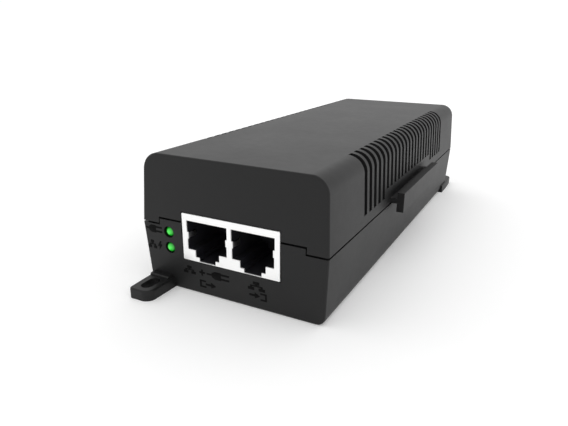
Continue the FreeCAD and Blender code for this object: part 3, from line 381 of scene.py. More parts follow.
def push(part, edges, move, scale=None):
    """Extrude a loop of edges, scale and move the new loop, and give back its edges."""
    made = bmesh.ops.extrude_edge_only(part, edges=edges)["geom"]
    points = [item for item in made if isinstance(item, bmesh.types.BMVert)]
    if scale:
        bmesh.ops.scale(part, vec=(scale, scale, 1), verts=points)
    bmesh.ops.translate(part, verts=points, vec=move)
    return [item for item in made if isinstance(item, bmesh.types.BMEdge)
            and all(point in points for point in item.verts)]


def fill(part, edges):
    bmesh.ops.triangle_fill(part, edges=edges, use_beauty=True)


def add_plate(bm, outlines, thickness, matrix=None, bevel=0.0):
    """A flat plate from closed outlines; every outline after the first is a hole."""
    part = bmesh.new()
    loops = [outline_edges(part, outline) for outline in outlines]
    fill(part, [edge for loop in loops for edge in loop])
    far = []
    for loop in loops:
        far += push(part, loop, (0, 0, thickness))
    fill(part, far)
    bmesh.ops.recalc_face_normals(part, faces=part.faces)
    if bevel:
        round_edges(part, far, bevel)
    if matrix is not None:
        bmesh.ops.transform(part, matrix=matrix, verts=part.verts)
    join(bm, part)


def add_well(bm, outer, inner, height, depth, matrix, bevel=0.0):
    """A closed block standing on its own z = 0 with a well sunk from its top."""
    part = bmesh.new()
    rim = [outline_edges(part, outer, height), outline_edges(part, inner, height)]
    fill(part, rim[0] + rim[1])
    for loop, drop in zip(rim, (height, depth)):
        fill(part, push(part, loop, (0, 0, -drop)))
    bmesh.ops.recalc_face_normals(part, faces=part.faces)
    if bevel:
        round_edges(part, rim[0] + rim[1], bevel)
    bmesh.ops.transform(part, matrix=matrix, verts=part.verts)
    join(bm, part)


def ring(centre, radius, count=24):
    return arc(centre, radius, 0, 360 - 360 / count, count - 1)


def rounded(low, high, radius, count=4):
    """A rectangle outline with round corners."""
    points = []
    for x, y, start in ((high[0], high[1], 0), (low[0], high[1], 90), (low[0], low[1], 180),
                        (high[0], low[1], 270)):
        centre = (x - math.copysign(radius, x - (low[0] + high[0]) / 2),
                  y - math.copysign(radius, y - (low[1] + high[1]) / 2))
        points += arc(centre, radius, start, start + 90, count)
    return points


def moved(outline, x, y, width=1.0, height=1.0):
    return [(x + px * width, y + py * height) for px, py in outline]


# Finishes

def case_plastic(look):
    """Black moulded plastic with a fine spark texture and faint uneven gloss."""
    finish = Finish("case_plastic", Specular_IOR_Level=look.specular)
    where, *_ = finish.place()
    grain = finish.noise(where, look.grain / MM, 3.0, 0.6)
    cloud = finish.noise(where, 18, 2.0)
    fine = finish.noise(where, 2.5, 2.0)
    colour = finish.mix(cloud, shade(look.colour, 0.88), shade(look.colour, 1.12))
    colour = finish.mix(0.4 * grain, colour, shade(look.colour, 1.5))
    finish.vary(Base_Color=colour, Roughness=look.roughness - 0.06 + 0.07 * cloud + 0.05 * fine)
    finish.bump(grain + 0.3 * fine, look.grain_depth / MM, 0.6)
    return finish


def moulded(name, colour, roughness, grain=0.15, depth=0.004, specular=0.5, coat=0.0):
    """Plain moulded or dipped plastic with slight grain and clouded colour."""
    finish = Finish(name, Specular_IOR_Level=specular, Coat_Weight=coat, Coat_Roughness=0.15)
    where, *_ = finish.place()
    small = finish.noise(where, grain, 2.0)
    cloud = finish.noise(where, 5, 2.0)
    finish.vary(Base_Color=finish.mix(cloud, shade(colour, 0.82), shade(colour, 1.18)),
                Roughness=roughness - 0.04 + 0.08 * small)
    finish.bump(small, depth, 0.5)
    return finish


def plated(name, colour, roughness, stretch=(1, 0.05, 1), lines_size=0.15):
    """Plated or drawn metal with fine drawing lines along one direction."""
    finish = Finish(name, Metallic=1.0)
    where, *_ = finish.place()
    lines = finish.noise(finish.stretch(where, stretch), lines_size, 2.0)
    cloud = finish.noise(where, 4, 2.0)
    finish.vary(Base_Color=finish.mix(cloud, shade(colour, 0.9), shade(colour)),
                Roughness=roughness + 0.08 * lines + 0.06 * cloud)
    finish.bump(lines, 0.003, 0.4)
    return finish


def jack_plate(look):
    """Bright nickel plate, satin enough to read as white on its face, with painted shade behind it: the
    folded sides and roof are coloured much darker.
    """
    finish = Finish("nickel_plate")
    where, _, own_y, _ = finish.place()
    behind = own_y.above(JACK_LOW.y + SHEET)
    lines = finish.noise(finish.stretch(where, (0.06, 1, 1)), 0.2, 2.0)
    cloud = finish.noise(where, 3, 2.0)
    face = finish.mix(cloud, shade(look.metal, 0.96), shade(look.metal))
    # Where behind is one, on the folded sides and roof, the plating colour is painted at 0.35 of its own:
    # painted shade.
    finish.vary(Base_Color=finish.mix(behind, face, shade(look.metal, 0.35)),
                Metallic=0.35 + 0.65 * behind, Roughness=0.34 + 0.1 * lines)
    finish.bump(lines, 0.002, 0.4)
    return finish


def lamp_glow(name, look, x, z, radius):
    """A diffused lit lamp: bright at its tip and deep green at its rim."""
    finish = Finish(name, Roughness=0.2, Coat_Weight=0.5, Coat_Roughness=0.08,
                    Emission_Strength=look.strength)
    where, own_x, _, own_z = finish.place()
    across, up = own_x - x, own_z - z
    reach = (across * across + up * up).root() / radius
    haze = finish.noise(where, 0.6, 2.0)
    glow = finish.ramp(reach + 0.08 * haze - 0.04,
                       (0.0, (0.040, 0.84, 0.060, 1)), (0.42, (0.018, 0.58, 0.030, 1)),
                       (0.68, (0.006, 0.27, 0.011, 1)), (0.86, (0.0, 0.05, 0.004, 1)),
                       (1.0, (0.0, 0.008, 0.0, 1)))
    finish.vary(Emission_Color=glow,
                Base_Color=finish.mix(reach, (0.008, 0.10, 0.010, 1), (0.0, 0.012, 0.002, 1)))
    return finish


def label_film():
    """Satin silver-grey film with a faint brushed print."""
    finish = Finish("label_film", Metallic=0.3)
    where, *_ = finish.place()
    lines = finish.noise(finish.stretch(where, (1, 0.02, 1)), 0.25, 2.0)
    cloud = finish.noise(where, 8, 2.0)
    finish.vary(Base_Color=finish.mix(cloud, (0.52, 0.53, 0.54, 1), (0.60, 0.61, 0.62, 1)),
                Roughness=0.32 + 0.12 * lines)
    finish.bump(lines, 0.002, 0.3)
    return finish


def board_laminate():
    """Green mask with darker pours and tracks; bare laminate on the cut edges."""
    finish = Finish("board_laminate", Coat_Roughness=0.12)
    where, x, y, z = finish.place()
    pour = finish.noise(finish.stretch(where, (0.5, 1, 1)), 9, 1.0).above(0.52)
    track = (abs((x + 0.2 * y) % 3.2 - 1.6)).below(0.3)
    weave = finish.noise(where, 0.3, 2.0)
    copper = pour.largest(track)
    mask = finish.mix(copper, (0.006, 0.055, 0.022, 1), (0.012, 0.12, 0.045, 1))
    edge = z.above(BOARD_LOW.z + 0.05) * z.below(BOARD_TOP - 0.05)
    finish.vary(Base_Color=finish.mix(edge, mask, (0.42, 0.36, 0.17, 1)),
                Roughness=0.3 + 0.1 * weave + 0.3 * edge, Coat_Weight=0.5 - 0.5 * edge)
    finish.bump(copper + 0.3 * weave, 0.03, 0.5)
    return finish


def insulation_film():
    """Milky film with slight ripples."""
    finish = Finish("insulation_film", Specular_IOR_Level=0.5)
    where, *_ = finish.place()
    ripple = finish.noise(where, 12, 1.0)
    finish.vary(Base_Color=finish.mix(ripple, (0.62, 0.61, 0.55, 1), (0.74, 0.73, 0.67, 1)),
                Roughness=0.32 + 0.1 * ripple)
    finish.bump(ripple, 0.2, 0.4)
    return finish


def ferrite():
    """Dark sintered ceramic with fine pits."""
    finish = Finish("ferrite")
    where, *_ = finish.place()
    pits = finish.noise(where, 0.25, 4.0, 0.7)
    cloud = finish.noise(where, 4, 2.0)
    finish.vary(Base_Color=finish.mix(pits, (0.018, 0.018, 0.02, 1), (0.075, 0.075, 0.08, 1)),
                Roughness=0.42 + 0.25 * cloud)
    finish.bump(pits, 0.02, 0.6)
    return finish


def copper_wire():
    """Enamelled copper, darker where the enamel is thick."""
    finish = Finish("copper_wire", Metallic=0.85, Coat_Weight=0.8, Coat_Roughness=0.08)
    where, *_ = finish.place()
    cloud = finish.noise(where, 1.5, 2.0)
    finish.vary(Base_Color=finish.mix(cloud, (0.42, 0.12, 0.035, 1), (0.72, 0.28, 0.10, 1)),
                Roughness=0.22 + 0.12 * cloud)
    return finish


def epoxy_and_metal(name, epoxy):
    """Black moulding compound; tinned metal where the mask, a function of place, is nought."""
    finish = Finish(name)
    where, x, y, z = finish.place()
    grain = finish.noise(where, 0.12, 2.0)
    cloud = finish.noise(where, 2, 2.0)
    body = epoxy(x, y, z)
    black = finish.mix(grain, (0.012, 0.012, 0.013, 1), (0.03, 0.03, 0.032, 1))
    tin = finish.mix(cloud, (0.55, 0.55, 0.54, 1), (0.72, 0.72, 0.70, 1))
    finish.vary(Base_Color=finish.mix(body, tin, black), Metallic=1 - body,
                Roughness=0.3 + 0.1 * cloud + 0.28 * body)
    finish.bump(grain * body, 0.008, 0.5)
    return finish


def can_sleeve(name, x, y, radius, top, pitch=0.0):
    """Printed shrink sleeve on an aluminium can whose bare top has a scored vent."""
    finish = Finish(name)
    where, own_x, own_y, z = finish.place()
    across = own_x - x
    along = (own_y - y + pitch / 2) % pitch - pitch / 2 if pitch else own_y - y
    reach = (across * across + along * along).root()
    bare = reach.below(radius - 0.9) * z.above(top - 1.2)
    score = abs(across).below(0.22).largest(abs(along).below(0.22)) * reach.below(radius * 0.62)
    stripe = across.above(radius * 0.74)
    dash = (z % 3.0).below(1.6) * abs(along).below(radius * 0.2)
    sleeve = finish.mix(stripe, (0.010, 0.014, 0.040, 1), (0.45, 0.47, 0.50, 1))
    sleeve = finish.mix(stripe * dash, sleeve, (0.010, 0.014, 0.040, 1))
    scratches = finish.noise(finish.stretch(where, (1, 0.2, 1)), 0.3, 2.0)
    # The score lines on the bare top are painted dark, 0.20 against 0.70: painted shade in the grooves.
    metal = finish.mix(score, (0.70, 0.71, 0.72, 1), (0.20, 0.20, 0.21, 1))
    finish.vary(Base_Color=finish.mix(bare, sleeve, metal), Metallic=bare,
                Roughness=0.24 + 0.1 * scratches + 0.06 * bare)
    finish.bump(scratches * 0.2 - score, 0.08, 0.5)
    return finish


def coil_tape():
    """Yellow polyester tape wound in turns, shiny, with faint edges of the layers."""
    finish = Finish("coil_tape", Coat_Weight=0.6, Coat_Roughness=0.1)
    where, _, _, z = finish.place()
    overlap = (z % 2.4).below(0.12)
    ripple = finish.noise(where, 1.8, 2.0)
    colour = finish.mix(ripple, (0.55, 0.37, 0.035, 1), (0.80, 0.58, 0.08, 1))
    finish.vary(Base_Color=finish.mix(overlap, colour, (0.40, 0.26, 0.03, 1)),
                Roughness=0.25 + 0.15 * ripple)
    finish.bump(ripple + overlap, 0.05, 0.4)
    return finish


def sink_aluminium():
    """Bent aluminium sheet with rolling lines and faint handling marks."""
    finish = Finish("sink_aluminium", Metallic=1.0)
    where, *_ = finish.place()
    lines = finish.noise(finish.stretch(where, (0.03, 1, 1)), 0.12, 2.0)
    marks = finish.noise(where, 6, 3.0, 0.7)
    finish.vary(Base_Color=finish.mix(marks, (0.52, 0.53, 0.54, 1), (0.68, 0.69, 0.70, 1)),
                Roughness=0.28 + 0.16 * lines + 0.08 * marks)
    finish.bump(lines, 0.006, 0.5)
    return finish


MADE = {}


def shared(name):
    """One finish for every piece that has it."""
    makers = {
        "port_plastic": lambda: moulded("port_plastic", (0.013, 0.013, 0.016), 0.34, specular=0.35),
        "print_black": lambda: moulded("print_black", (0.003, 0.003, 0.003), 0.6, specular=0.06),
        "holder_plastic": lambda: moulded("holder_plastic", (0.015, 0.015, 0.016), 0.5),
        "inlet_plastic": lambda: moulded("inlet_plastic", (0.012, 0.012, 0.013), 0.36, 0.3, 0.01, 0.42),
        "blade_metal": lambda: plated("blade_metal", (0.72, 0.71, 0.67), 0.2),
        "screw_steel": lambda: plated("screw_steel", (0.42, 0.42, 0.43), 0.3, (1, 1, 0.3), 0.4),
        "fuse_plastic": lambda: moulded("fuse_plastic", (0.16, 0.035, 0.015), 0.3, coat=0.4),
        "varistor_coat": lambda: moulded("varistor_coat", (0.012, 0.055, 0.28), 0.28, 0.8, 0.03, coat=0.6),
        "ntc_coat": lambda: moulded("ntc_coat", (0.012, 0.022, 0.016), 0.45, 0.8, 0.03),
        "ycap_coat": lambda: moulded("ycap_coat", (0.02, 0.11, 0.34), 0.35, 0.8, 0.03, coat=0.4),
        "xcap_plastic": lambda: moulded("xcap_plastic", (0.62, 0.33, 0.025), 0.32, 0.3, 0.008),
        "magnetics": lambda: moulded("magnetics_epoxy", (0.014, 0.014, 0.015), 0.42, 0.2, 0.008),
        "ferrite": ferrite,
        "copper_wire": copper_wire,
        "coil_tape": coil_tape,
        "sink_aluminium": sink_aluminium,
        "label_film": label_film,
        "board_laminate": board_laminate,
        "insulation_film": insulation_film,
    }
    if name not in MADE:
        MADE[name] = makers[name]()
    return MADE[name]


# Properties that a user would change

def distance(name, description, default):
    return FloatProperty(name=name, description=description, default=default * MM, min=0,
                         subtype="DISTANCE", unit="LENGTH")


def amount(name, description, default, most=1):
    return FloatProperty(name=name, description=description, default=default, min=0, max=most,
                         subtype="FACTOR")


def tint(name, description, default):
    return FloatVectorProperty(name=name, description=description, default=default, size=3, min=0, max=1,
                               subtype="COLOR")


class CaseLook(bpy.types.PropertyGroup):
    colour: tint("Plastic colour", "Colour of the moulded shells", (0.0080, 0.0080, 0.0082))
    roughness: amount("Roughness", "How dull the shells are", 0.47)
    specular: amount("Specular", "Strength of the shells' reflection", 0.26)
    grain: distance("Grain", "Size of the spark texture's grains", 0.28)
    grain_depth: distance("Grain depth", "Depth of the spark texture", 0.012)
    mark_height: distance("Mark height", "How far the front marks stand proud", 0.08)


class PortLook(bpy.types.PropertyGroup):
    metal: tint("Plating colour", "Colour of the jack's plated can", (0.97, 0.97, 0.965))
    gold: tint("Contact colour", "Colour of the contact wires", (0.90, 0.62, 0.24))
    spring: tint("Spring colour", "Colour of the can's spring fingers", (0.34, 0.34, 0.35))
    wire_radius: distance("Contact radius", "Radius of a contact wire", 0.2)


class LampLook(bpy.types.PropertyGroup):
    strength: amount("Glow", "Brightness of the lit lamps", 1.0, 20)
    radius: distance("Lamp radius", "Radius of a lamp's dome", 1.5)


class StageLook(bpy.types.PropertyGroup):
    floor: tint("Floor colour", "Colour of the floor", (0.95, 0.95, 0.95))
    sky: amount("Sky", "Strength of the even light", 1.02, 10)
    key: FloatProperty(name="Key light", description="Power of the large lamp", default=0.25, min=0, max=100,
                       unit="POWER")
    glow: amount("Floor glow", "Light that the floor gives off by itself", 0.12)
    lens: FloatProperty(name="Lens", description="Focal length of the camera in millimetres", default=32.86,
                        min=1, max=300, subtype="DISTANCE_CAMERA")
    camera_turn: FloatVectorProperty(name="Camera turn", description="Turn of the camera", size=3,
                                     default=[math.radians(a) for a in (70.83, -0.36, 27.85)],
                                     subtype="EULER")


# Operators

class INJECTOR_OT_stage(bpy.types.Operator):
    """Lay the pale floor and set the soft lights and the camera"""
    bl_idname = "injector.stage"
    bl_label = "Stage"

    def execute(self, context):
        scene = context.scene
        look = scene.injector_stage
        scene.view_settings.view_transform = "Standard"

        bm = bmesh.new()
        bmesh.ops.create_grid(bm, x_segments=1, y_segments=1, size=8)
        mesh = bpy.data.meshes.new("floor")
        bm.to_mesh(mesh)
        bm.free()
        floor = bpy.data.objects.new("floor", mesh)
        scene.collection.objects.link(floor)
        finish = Finish("floor", Roughness=0.9, Specular_IOR_Level=0.1, Emission_Strength=look.glow,
                        Emission_Color=(1, 1, 1, 1))
        finish.surface.inputs["Base Color"].default_value = shade(look.floor)
        mesh.materials.append(finish.material)

        world = bpy.data.worlds.new("studio")
        world.use_nodes = True
        background = world.node_tree.nodes["Background"]
        background.inputs["Color"].default_value = (1, 1, 1, 1)
        background.inputs["Strength"].default_value = look.sky
        scene.world = world

        light = bpy.data.lights.new("key_light", "AREA")
        light.shape = "DISK"
        light.size = 0.6
        light.energy = look.key
        lamp = bpy.data.objects.new("key_light", light)
        lamp.location = (-0.25, 0.45, 0.50)
        lamp.rotation_euler = (-lamp.location).to_track_quat("-Z", "Y").to_euler()
        scene.collection.objects.link(lamp)

        data = bpy.data.cameras.new("camera")
        data.lens = look.lens
        data.sensor_width = 36
        data.clip_start = 0.01
        camera = bpy.data.objects.new("camera", data)
        aside, before, above = 37.42, 101.56, 68.05
        camera.location = Vector((COVER_HIGH.x + aside, FRONT - before, BASE_LOW.z + above)) * MM
        camera.rotation_euler = look.camera_turn
        scene.collection.objects.link(camera)
        scene.camera = camera
        return {"FINISHED"}


class INJECTOR_OT_case(bpy.types.Operator):
    """Finish the two shells of the case"""
    bl_idname = "injector.case"
    bl_label = "Case"

    def execute(self, context):
        finish = case_plastic(context.scene.injector_case)
        for node in ("base_case", "top_cover"):
            dress(node, finish)
        return {"FINISHED"}


# Marks: each is an outline about two units high, round its own middle.
PLUG = [(-1.5, 0.18), (-0.8, 0.18), (-0.8, 0.5), (-0.4, 0.95), (0.4, 0.95), (0.4, 0.75), (1.5, 0.75),
        (1.5, 0.35), (0.4, 0.35), (0.4, -0.35), (1.5, -0.35), (1.5, -0.75), (0.4, -0.75),
        (0.4, -0.95), (-0.4, -0.95), (-0.8, -0.5), (-0.8, -0.18), (-1.5, -0.18)]
BOLT = [(0.1, 1), (-0.68, -0.2), (-0.12, -0.2), (-0.3, -1), (0.66, 0.28), (0.1, 0.28), (0.5, 1)]
NETWORK = [(-0.4, 1), (0.4, 1), (0.4, 0.34), (0.14, 0.34), (0.14, 0.14), (0.8, 0.14), (0.8, -0.34),
           (1.1, -0.34), (1.1, -1), (0.3, -1), (0.3, -0.34), (0.54, -0.34), (0.54, -0.12), (-0.54, -0.12),
           (-0.54, -0.34), (-0.3, -0.34), (-0.3, -1), (-1.1, -1), (-1.1, -0.34), (-0.8, -0.34),
           (-0.8, 0.14), (-0.14, 0.14), (-0.14, 0.34), (-0.4, 0.34)]
PLUS = [(-0.2, 0.7), (0.2, 0.7), (0.2, 0.2), (0.7, 0.2), (0.7, -0.2), (0.2, -0.2), (0.2, -0.7),
        (-0.2, -0.7), (-0.2, -0.2), (-0.7, -0.2), (-0.7, 0.2), (-0.2, 0.2)]
ARROW = [(-1, 0.26), (0.05, 0.26), (0.05, 0.8), (1, 0), (0.05, -0.8), (0.05, -0.26), (-1, -0.26)]
TRAY = [(0.7, 1), (-1, 1), (-1, -1), (0.7, -1), (0.7, -0.6), (-0.56, -0.6), (-0.56, 0.6), (0.7, 0.6)]

# Every front mark: its outline, its middle across and up the front face, and its half width and half height.
FRONT_MARKS = [
    (PLUG, -24.5, 16.8, 1.95, 1.15),
    (NETWORK, -25.5, 11.95, 1.3, 1.2), (BOLT, -22.8, 11.95, 1.3, 1.35),
    (NETWORK, -13.2, 6.7, 1.8, 1.15), (PLUS, -9.0, 6.7, 1.3, 1.3), (PLUG, -3.9, 6.7, 2.4, 1.2),
    (TRAY, -8.8, 3.3, 1.2, 1.1), (ARROW, -6.4, 3.3, 1.7, 1.1),
    (NETWORK, 8.0, 6.7, 2.3, 1.25),
    (ARROW, 7.4, 3.9, 1.6, 1.1), (TRAY, 9.9, 3.9, -1.1, 1.1),
]


class INJECTOR_OT_marks(bpy.types.Operator):
    """Raise the pictograms of the lamps and ports on the leaning front wall"""
    bl_idname = "injector.marks"
    bl_label = "Front marks"

    def execute(self, context):
        sunk, edge = 0.05, 0.025
        proud = context.scene.injector_case.mark_height / MM
        face = Matrix.Translation((0, FRONT, BASE_RIM)) @ Matrix.Rotation(math.radians(90) + DRAFT, 4, "X")
        bm = bmesh.new()
        for outline, x, z, width, height in FRONT_MARKS:
            shape = moved(outline, x, z - BASE_RIM, width, height)
            add_plate(bm, [shape], sunk + proud, face @ Matrix.Translation((0, 0, -sunk)), edge)
        finish_piece("front_marks", bm, shared("print_black"))
        return {"FINISHED"}


# The stepped mouth of a port round its own middle line, with the half width and height of each step,
# and the tab at each side where a spring folds in.
PORT_STEPS = [(PORT_WIDTH / 2, BOARD_TOP + 3.15), (3.8, BOARD_TOP + 3.15), (3.8, BOARD_TOP + 1.2),
              (2.6, BOARD_TOP + 1.2), (2.6, BOARD_TOP + 0.1)]
SPRING_FOOT = BOARD_TOP + 6.1
SPRING_TOP = SPRING_FOOT + 1.9
SPRING_REACH = 0.3
SIDE_PLAY = 0.15

# A spring's line seen from above: how far behind the face, and how far into the wall.
SPRING_BOW = [(SHEET, 0.1), (1.0, -0.12), (2.0, -0.3), (3.0, -0.18), (4.0, 0.28)]
# A contact's line seen from the side: how far behind the face, and its rise from the roof.
CONTACT_LINE = [(1.7, 0), (3.0, 0.05), (4.2, 0), (11.2, -2.4), (11.6, -2.6)]


def port_mouth(x):
    """The mouth of one port, narrowed a little by the tab at each side where a spring folds in."""
    half_width = PORT_WIDTH / 2
    steps = [(half_width + SIDE_PLAY, PORT_ROOF), (half_width + SIDE_PLAY, SPRING_TOP),
             (half_width - SPRING_REACH, SPRING_TOP), (half_width - SPRING_REACH, SPRING_FOOT),
             (half_width, SPRING_FOOT)] + PORT_STEPS
    return [(x + half, z) for half, z in steps] + [(x - half, z) for half, z in reversed(steps)]


class INJECTOR_OT_jack(bpy.types.Operator):
    """Fold the plated can of the double jack with its springs, and bend its contacts"""
    bl_idname = "injector.jack"
    bl_label = "Double jack"

    def execute(self, context):
        look = context.scene.injector_port
        low, high = JACK_LOW, JACK_HIGH
        bm = bmesh.new()
        front = set_at((0, low.y + SHEET, 0), "-Y")
        outer = rounded((low.x, low.z), (high.x, high.z), 0.25, 3)
        add_plate(bm, [outer] + [port_mouth(x) for x in PORT_MIDDLES], SHEET, front, bevel=0.06)

        # The folded sides and roof, as one bent sheet seen from the back.
        fold = 0.5
        outside = ([(low.x, low.z)] + arc((low.x + fold, high.z - fold), fold, 180, 90)
                   + arc((high.x - fold, high.z - fold), fold, 90, 0) + [(high.x, low.z)])
        bend = fold - SHEET
        inside = ([(high.x - SHEET, low.z)] + arc((high.x - fold, high.z - fold), bend, 0, 90)
                  + arc((low.x + fold, high.z - fold), bend, 90, 180) + [(low.x + SHEET, low.z)])
        add_plate(bm, [outside + inside], high.y - low.y - SHEET, set_at((0, high.y, 0), "-Y"))

        # Two solder tabs at each side.
        tab_half = Vector((SHEET / 2, 0.7, 0))
        for x in (low.x + SHEET / 2, high.x - SHEET / 2):
            for y in (low.y + 6, low.y + 15):
                add_box(bm, Vector((x, y, LEAD_END)) - tab_half, Vector((x, y, low.z)) + tab_half, 0.05)
                LEAD_PLACES.append((x, y))
        finish_piece("jack_can", bm, jack_plate(look), ["port_shield"], angle=30)

        # A curved spring finger behind each tab.
        spring_sheet, gap = 0.15, 0.2
        bm = bmesh.new()
        for x in PORT_MIDDLES:
            for side in (-1, 1):
                wall = x + side * (PORT_WIDTH / 2 - SPRING_REACH)
                near = [(wall + side * reach, low.y + y) for y, reach in SPRING_BOW]
                far = [(wall + side * (reach + spring_sheet), low.y + y) for y, reach in reversed(SPRING_BOW)]
                lower = Matrix.Translation((0, 0, SPRING_FOOT + gap))
                add_plate(bm, [near + far], SPRING_TOP - SPRING_FOOT - 2 * gap, lower)
        springs = plated("spring_plate", look.spring, 0.3, (1, 1, 0.1))
        finish_piece("jack_springs", bm, springs)

        bm = bmesh.new()
        roof = PORT_ROOF - 0.25
        for x in PORT_MIDDLES:
            for i in range(CONTACTS):
                wire = x + (i - (CONTACTS - 1) / 2) * CONTACT_PITCH
                path = [(wire, low.y + y, roof + rise) for y, rise in CONTACT_LINE]
                add_tube(bm, path, look.wire_radius / MM)
        gold = plated("gold_plate", look.gold, 0.16)
        finish_piece("jack_contacts", bm, gold, ["port_contacts"])
        dress("port_insert", shared("port_plastic"))
        return {"FINISHED"}


class INJECTOR_OT_lamps(bpy.types.Operator):
    """Spin the two domed lamps and bend their leads down to the board"""
    bl_idname = "injector.lamps"
    bl_label = "Lamps"

    def execute(self, context):
        look = context.scene.injector_lamp
        radius = look.radius / MM
        flange, length, lead_spread, bend = 1.0, 8.0, 1.27, 0.8
        wires = bmesh.new()
        for node, piece in (("power_led", "power_lamp"), ("poe_led", "poe_lamp")):
            low, high = span(node)
            rim = (high.x - low.x) / 2
            x, z = low.x + rim, high.z - rim
            back = low.y + length
            profile = ([(0, 0), (rim - 0.1, 0), (rim, 0.1), (rim, flange - 0.1), (rim - 0.1, flange),
                        (radius + 0.12, flange), (radius, flange + 0.15)]
                       + arc((0, length - radius), radius, 0, 90, 10))
            bm = bmesh.new()
            add_turned(bm, profile, set_at((x, back, z), "-Y"), steps=40)
            finish_piece(piece, bm, lamp_glow(piece, look, x, z, radius), [node])
            for side in (-1, 1):
                lead = x + side * lead_spread
                foot = high.y - THIN_LEAD
                down = [(lead, foot, height) for height in (z, z - bend, LEAD_END)]
                add_tube(wires, [(lead, back - 0.2, z)] + down, THIN_LEAD)
                LEAD_PLACES.append((lead, foot))
        finish_piece("lamp_leads", wires, shared("blade_metal"))
        dress("led_holder", shared("holder_plastic"))
        return {"FINISHED"}


def inlet_outline(inset):
    """The inlet's outline: two square lower corners and two cut upper corners."""
    low_x, high_x = INLET_LOW.x + inset, INLET_HIGH.x - inset
    low_z, high_z = INLET_LOW.z + inset, INLET_HIGH.z - inset
    radius, cut = 1.2, 4.5
    points = arc((high_x - radius, low_z + radius), radius, -90, 0, 3)
    points += [(high_x, high_z - cut), (high_x - cut, high_z), (low_x + cut, high_z), (low_x, high_z - cut)]
    points += arc((low_x + radius, low_z + radius), radius, 180, 270, 3)
    return points


class INJECTOR_OT_inlet(bpy.types.Operator):
    """Shape the mains inlet and its three bevelled blades"""
    bl_idname = "injector.inlet"
    bl_label = "Mains inlet"

    def execute(self, context):
        low, high = INLET_LOW, INLET_HIGH
        depth = 16.5
        bm = bmesh.new()
        outer = rounded((low.x, low.z), (high.x, high.z), 0.8, 3)
        add_well(bm, outer, inlet_outline(1.7), high.y - low.y, depth, set_at((0, low.y, 0), "Y")
                 @ Matrix.Scale(-1, 4, (0, 1, 0)), bevel=0.25)
        floor = high.y - depth
        boss_half = Vector((BLADE_HALF_WIDTH + 0.7, 0, BLADE_HALF_HEIGHT + 0.7))
        for x, z in BLADES:
            add_box(bm, Vector((x, floor - 0.3, z)) - boss_half, Vector((x, floor + 1.0, z)) + boss_half, 0.4)
        finish_piece("inlet_housing", bm, shared("inlet_plastic"), ["inlet_body"])

        pin_low, pin_high = span("inlet_pins")
        tail_sheet = 0.9
        bm = bmesh.new()
        for x, z in BLADES:
            part = bmesh.new()
            add_box(part, (x - BLADE_HALF_WIDTH, pin_low.y + 0.5, z - BLADE_HALF_HEIGHT),
                    (x + BLADE_HALF_WIDTH, pin_high.y, z + BLADE_HALF_HEIGHT))
            part.edges.ensure_lookup_table()
            tip = [edge for edge in part.edges if all(v.co.y > pin_high.y - 0.01 for v in edge.verts)]
            round_edges(part, tip, 0.75, 3)
            round_edges(part, [edge for edge in part.edges if edge.calc_length() > 15], 0.15)
            join(bm, part)
            add_box(bm, (x - BLADE_HALF_WIDTH, pin_low.y, BOARD_TOP),
                    (x + BLADE_HALF_WIDTH, pin_low.y + tail_sheet, z + BLADE_HALF_HEIGHT - 0.4), 0.1)
            add_lead(bm, x, pin_low.y + tail_sheet / 2, BOARD_TOP + 0.5, THICK_LEAD)
        finish_piece("inlet_blades", bm, shared("blade_metal"), ["inlet_pins"])
        return {"FINISHED"}


def add_screw(bm, place, axis, head_radius, head_height, shank_radius, shank_length):
    """A pan-head screw with a cross recess and a cut thread; its head's underside is at its place."""
    part = bmesh.new()
    steps = 32
    core = shank_radius * 0.8
    crown = head_radius * 0.72
    edge = head_height * 0.45
    profile = [(core, 0), (head_radius - 0.1, 0), (head_radius, 0.12), (head_radius, edge)]
    for share in (0.3, 0.65, 1.0):
        rise = math.sin(share * math.pi / 2)
        profile.append((head_radius + (crown - head_radius) * share, edge + (head_height - edge) * rise))
    add_turned(part, profile, Matrix.Identity(4), steps)

    # The crown with its cross, sunk and tapering.
    cap = bmesh.new()
    half, reach = head_radius * 0.13, crown * 0.78
    quarter = [(reach, -half), (reach, half), (half * 1.5, half * 1.5)]
    cross = []
    for turn in range(4):
        c, s = round(math.cos(turn * math.pi / 2)), round(math.sin(turn * math.pi / 2))
        cross += [(x * c - y * s, x * s + y * c) for x, y in quarter]
    edges = outline_edges(cap, cross, head_height)
    fill(cap, outline_edges(cap, ring((0, 0), crown, steps), head_height) + edges)
    fill(cap, push(cap, edges, (0, 0, -head_height * 0.6), scale=0.5))
    join(part, cap)

    # The core, its point, and a helical thread round it.
    point, first_turn, turn_steps = 1.2, 0.4, 18
    profile = [(core, 0), (core, point - shank_length), (core * 0.4, -shank_length), (0, -shank_length)]
    add_turned(part, profile, Matrix.Identity(4), 20)
    pitch = shank_radius * 0.75
    turns = int((shank_length - point - 1.0) / pitch)
    if turns > 0:
        thread = bmesh.new()
        ridge = [(core - 0.05, 0), (shank_radius, pitch * 0.3), (core - 0.05, pitch * 0.6)]
        points = [thread.verts.new((radius, 0, -first_turn - drop)) for radius, drop in ridge]
        loop = [thread.edges.new(pair) for pair in zip(points, points[1:] + points[:1])]
        bmesh.ops.spin(thread, geom=points + loop, cent=(0, 0, 0), axis=(0, 0, 1), angle=2 * math.pi * turns,
                       dvec=(0, 0, -pitch / turn_steps), steps=turn_steps * turns, use_duplicate=False)
        bmesh.ops.holes_fill(thread, edges=[e for e in thread.edges if e.is_boundary], sides=3)
        bmesh.ops.recalc_face_normals(thread, faces=thread.faces)
        join(part, thread)
    bmesh.ops.transform(part, matrix=set_at(place, axis), verts=part.verts)
    join(bm, part)


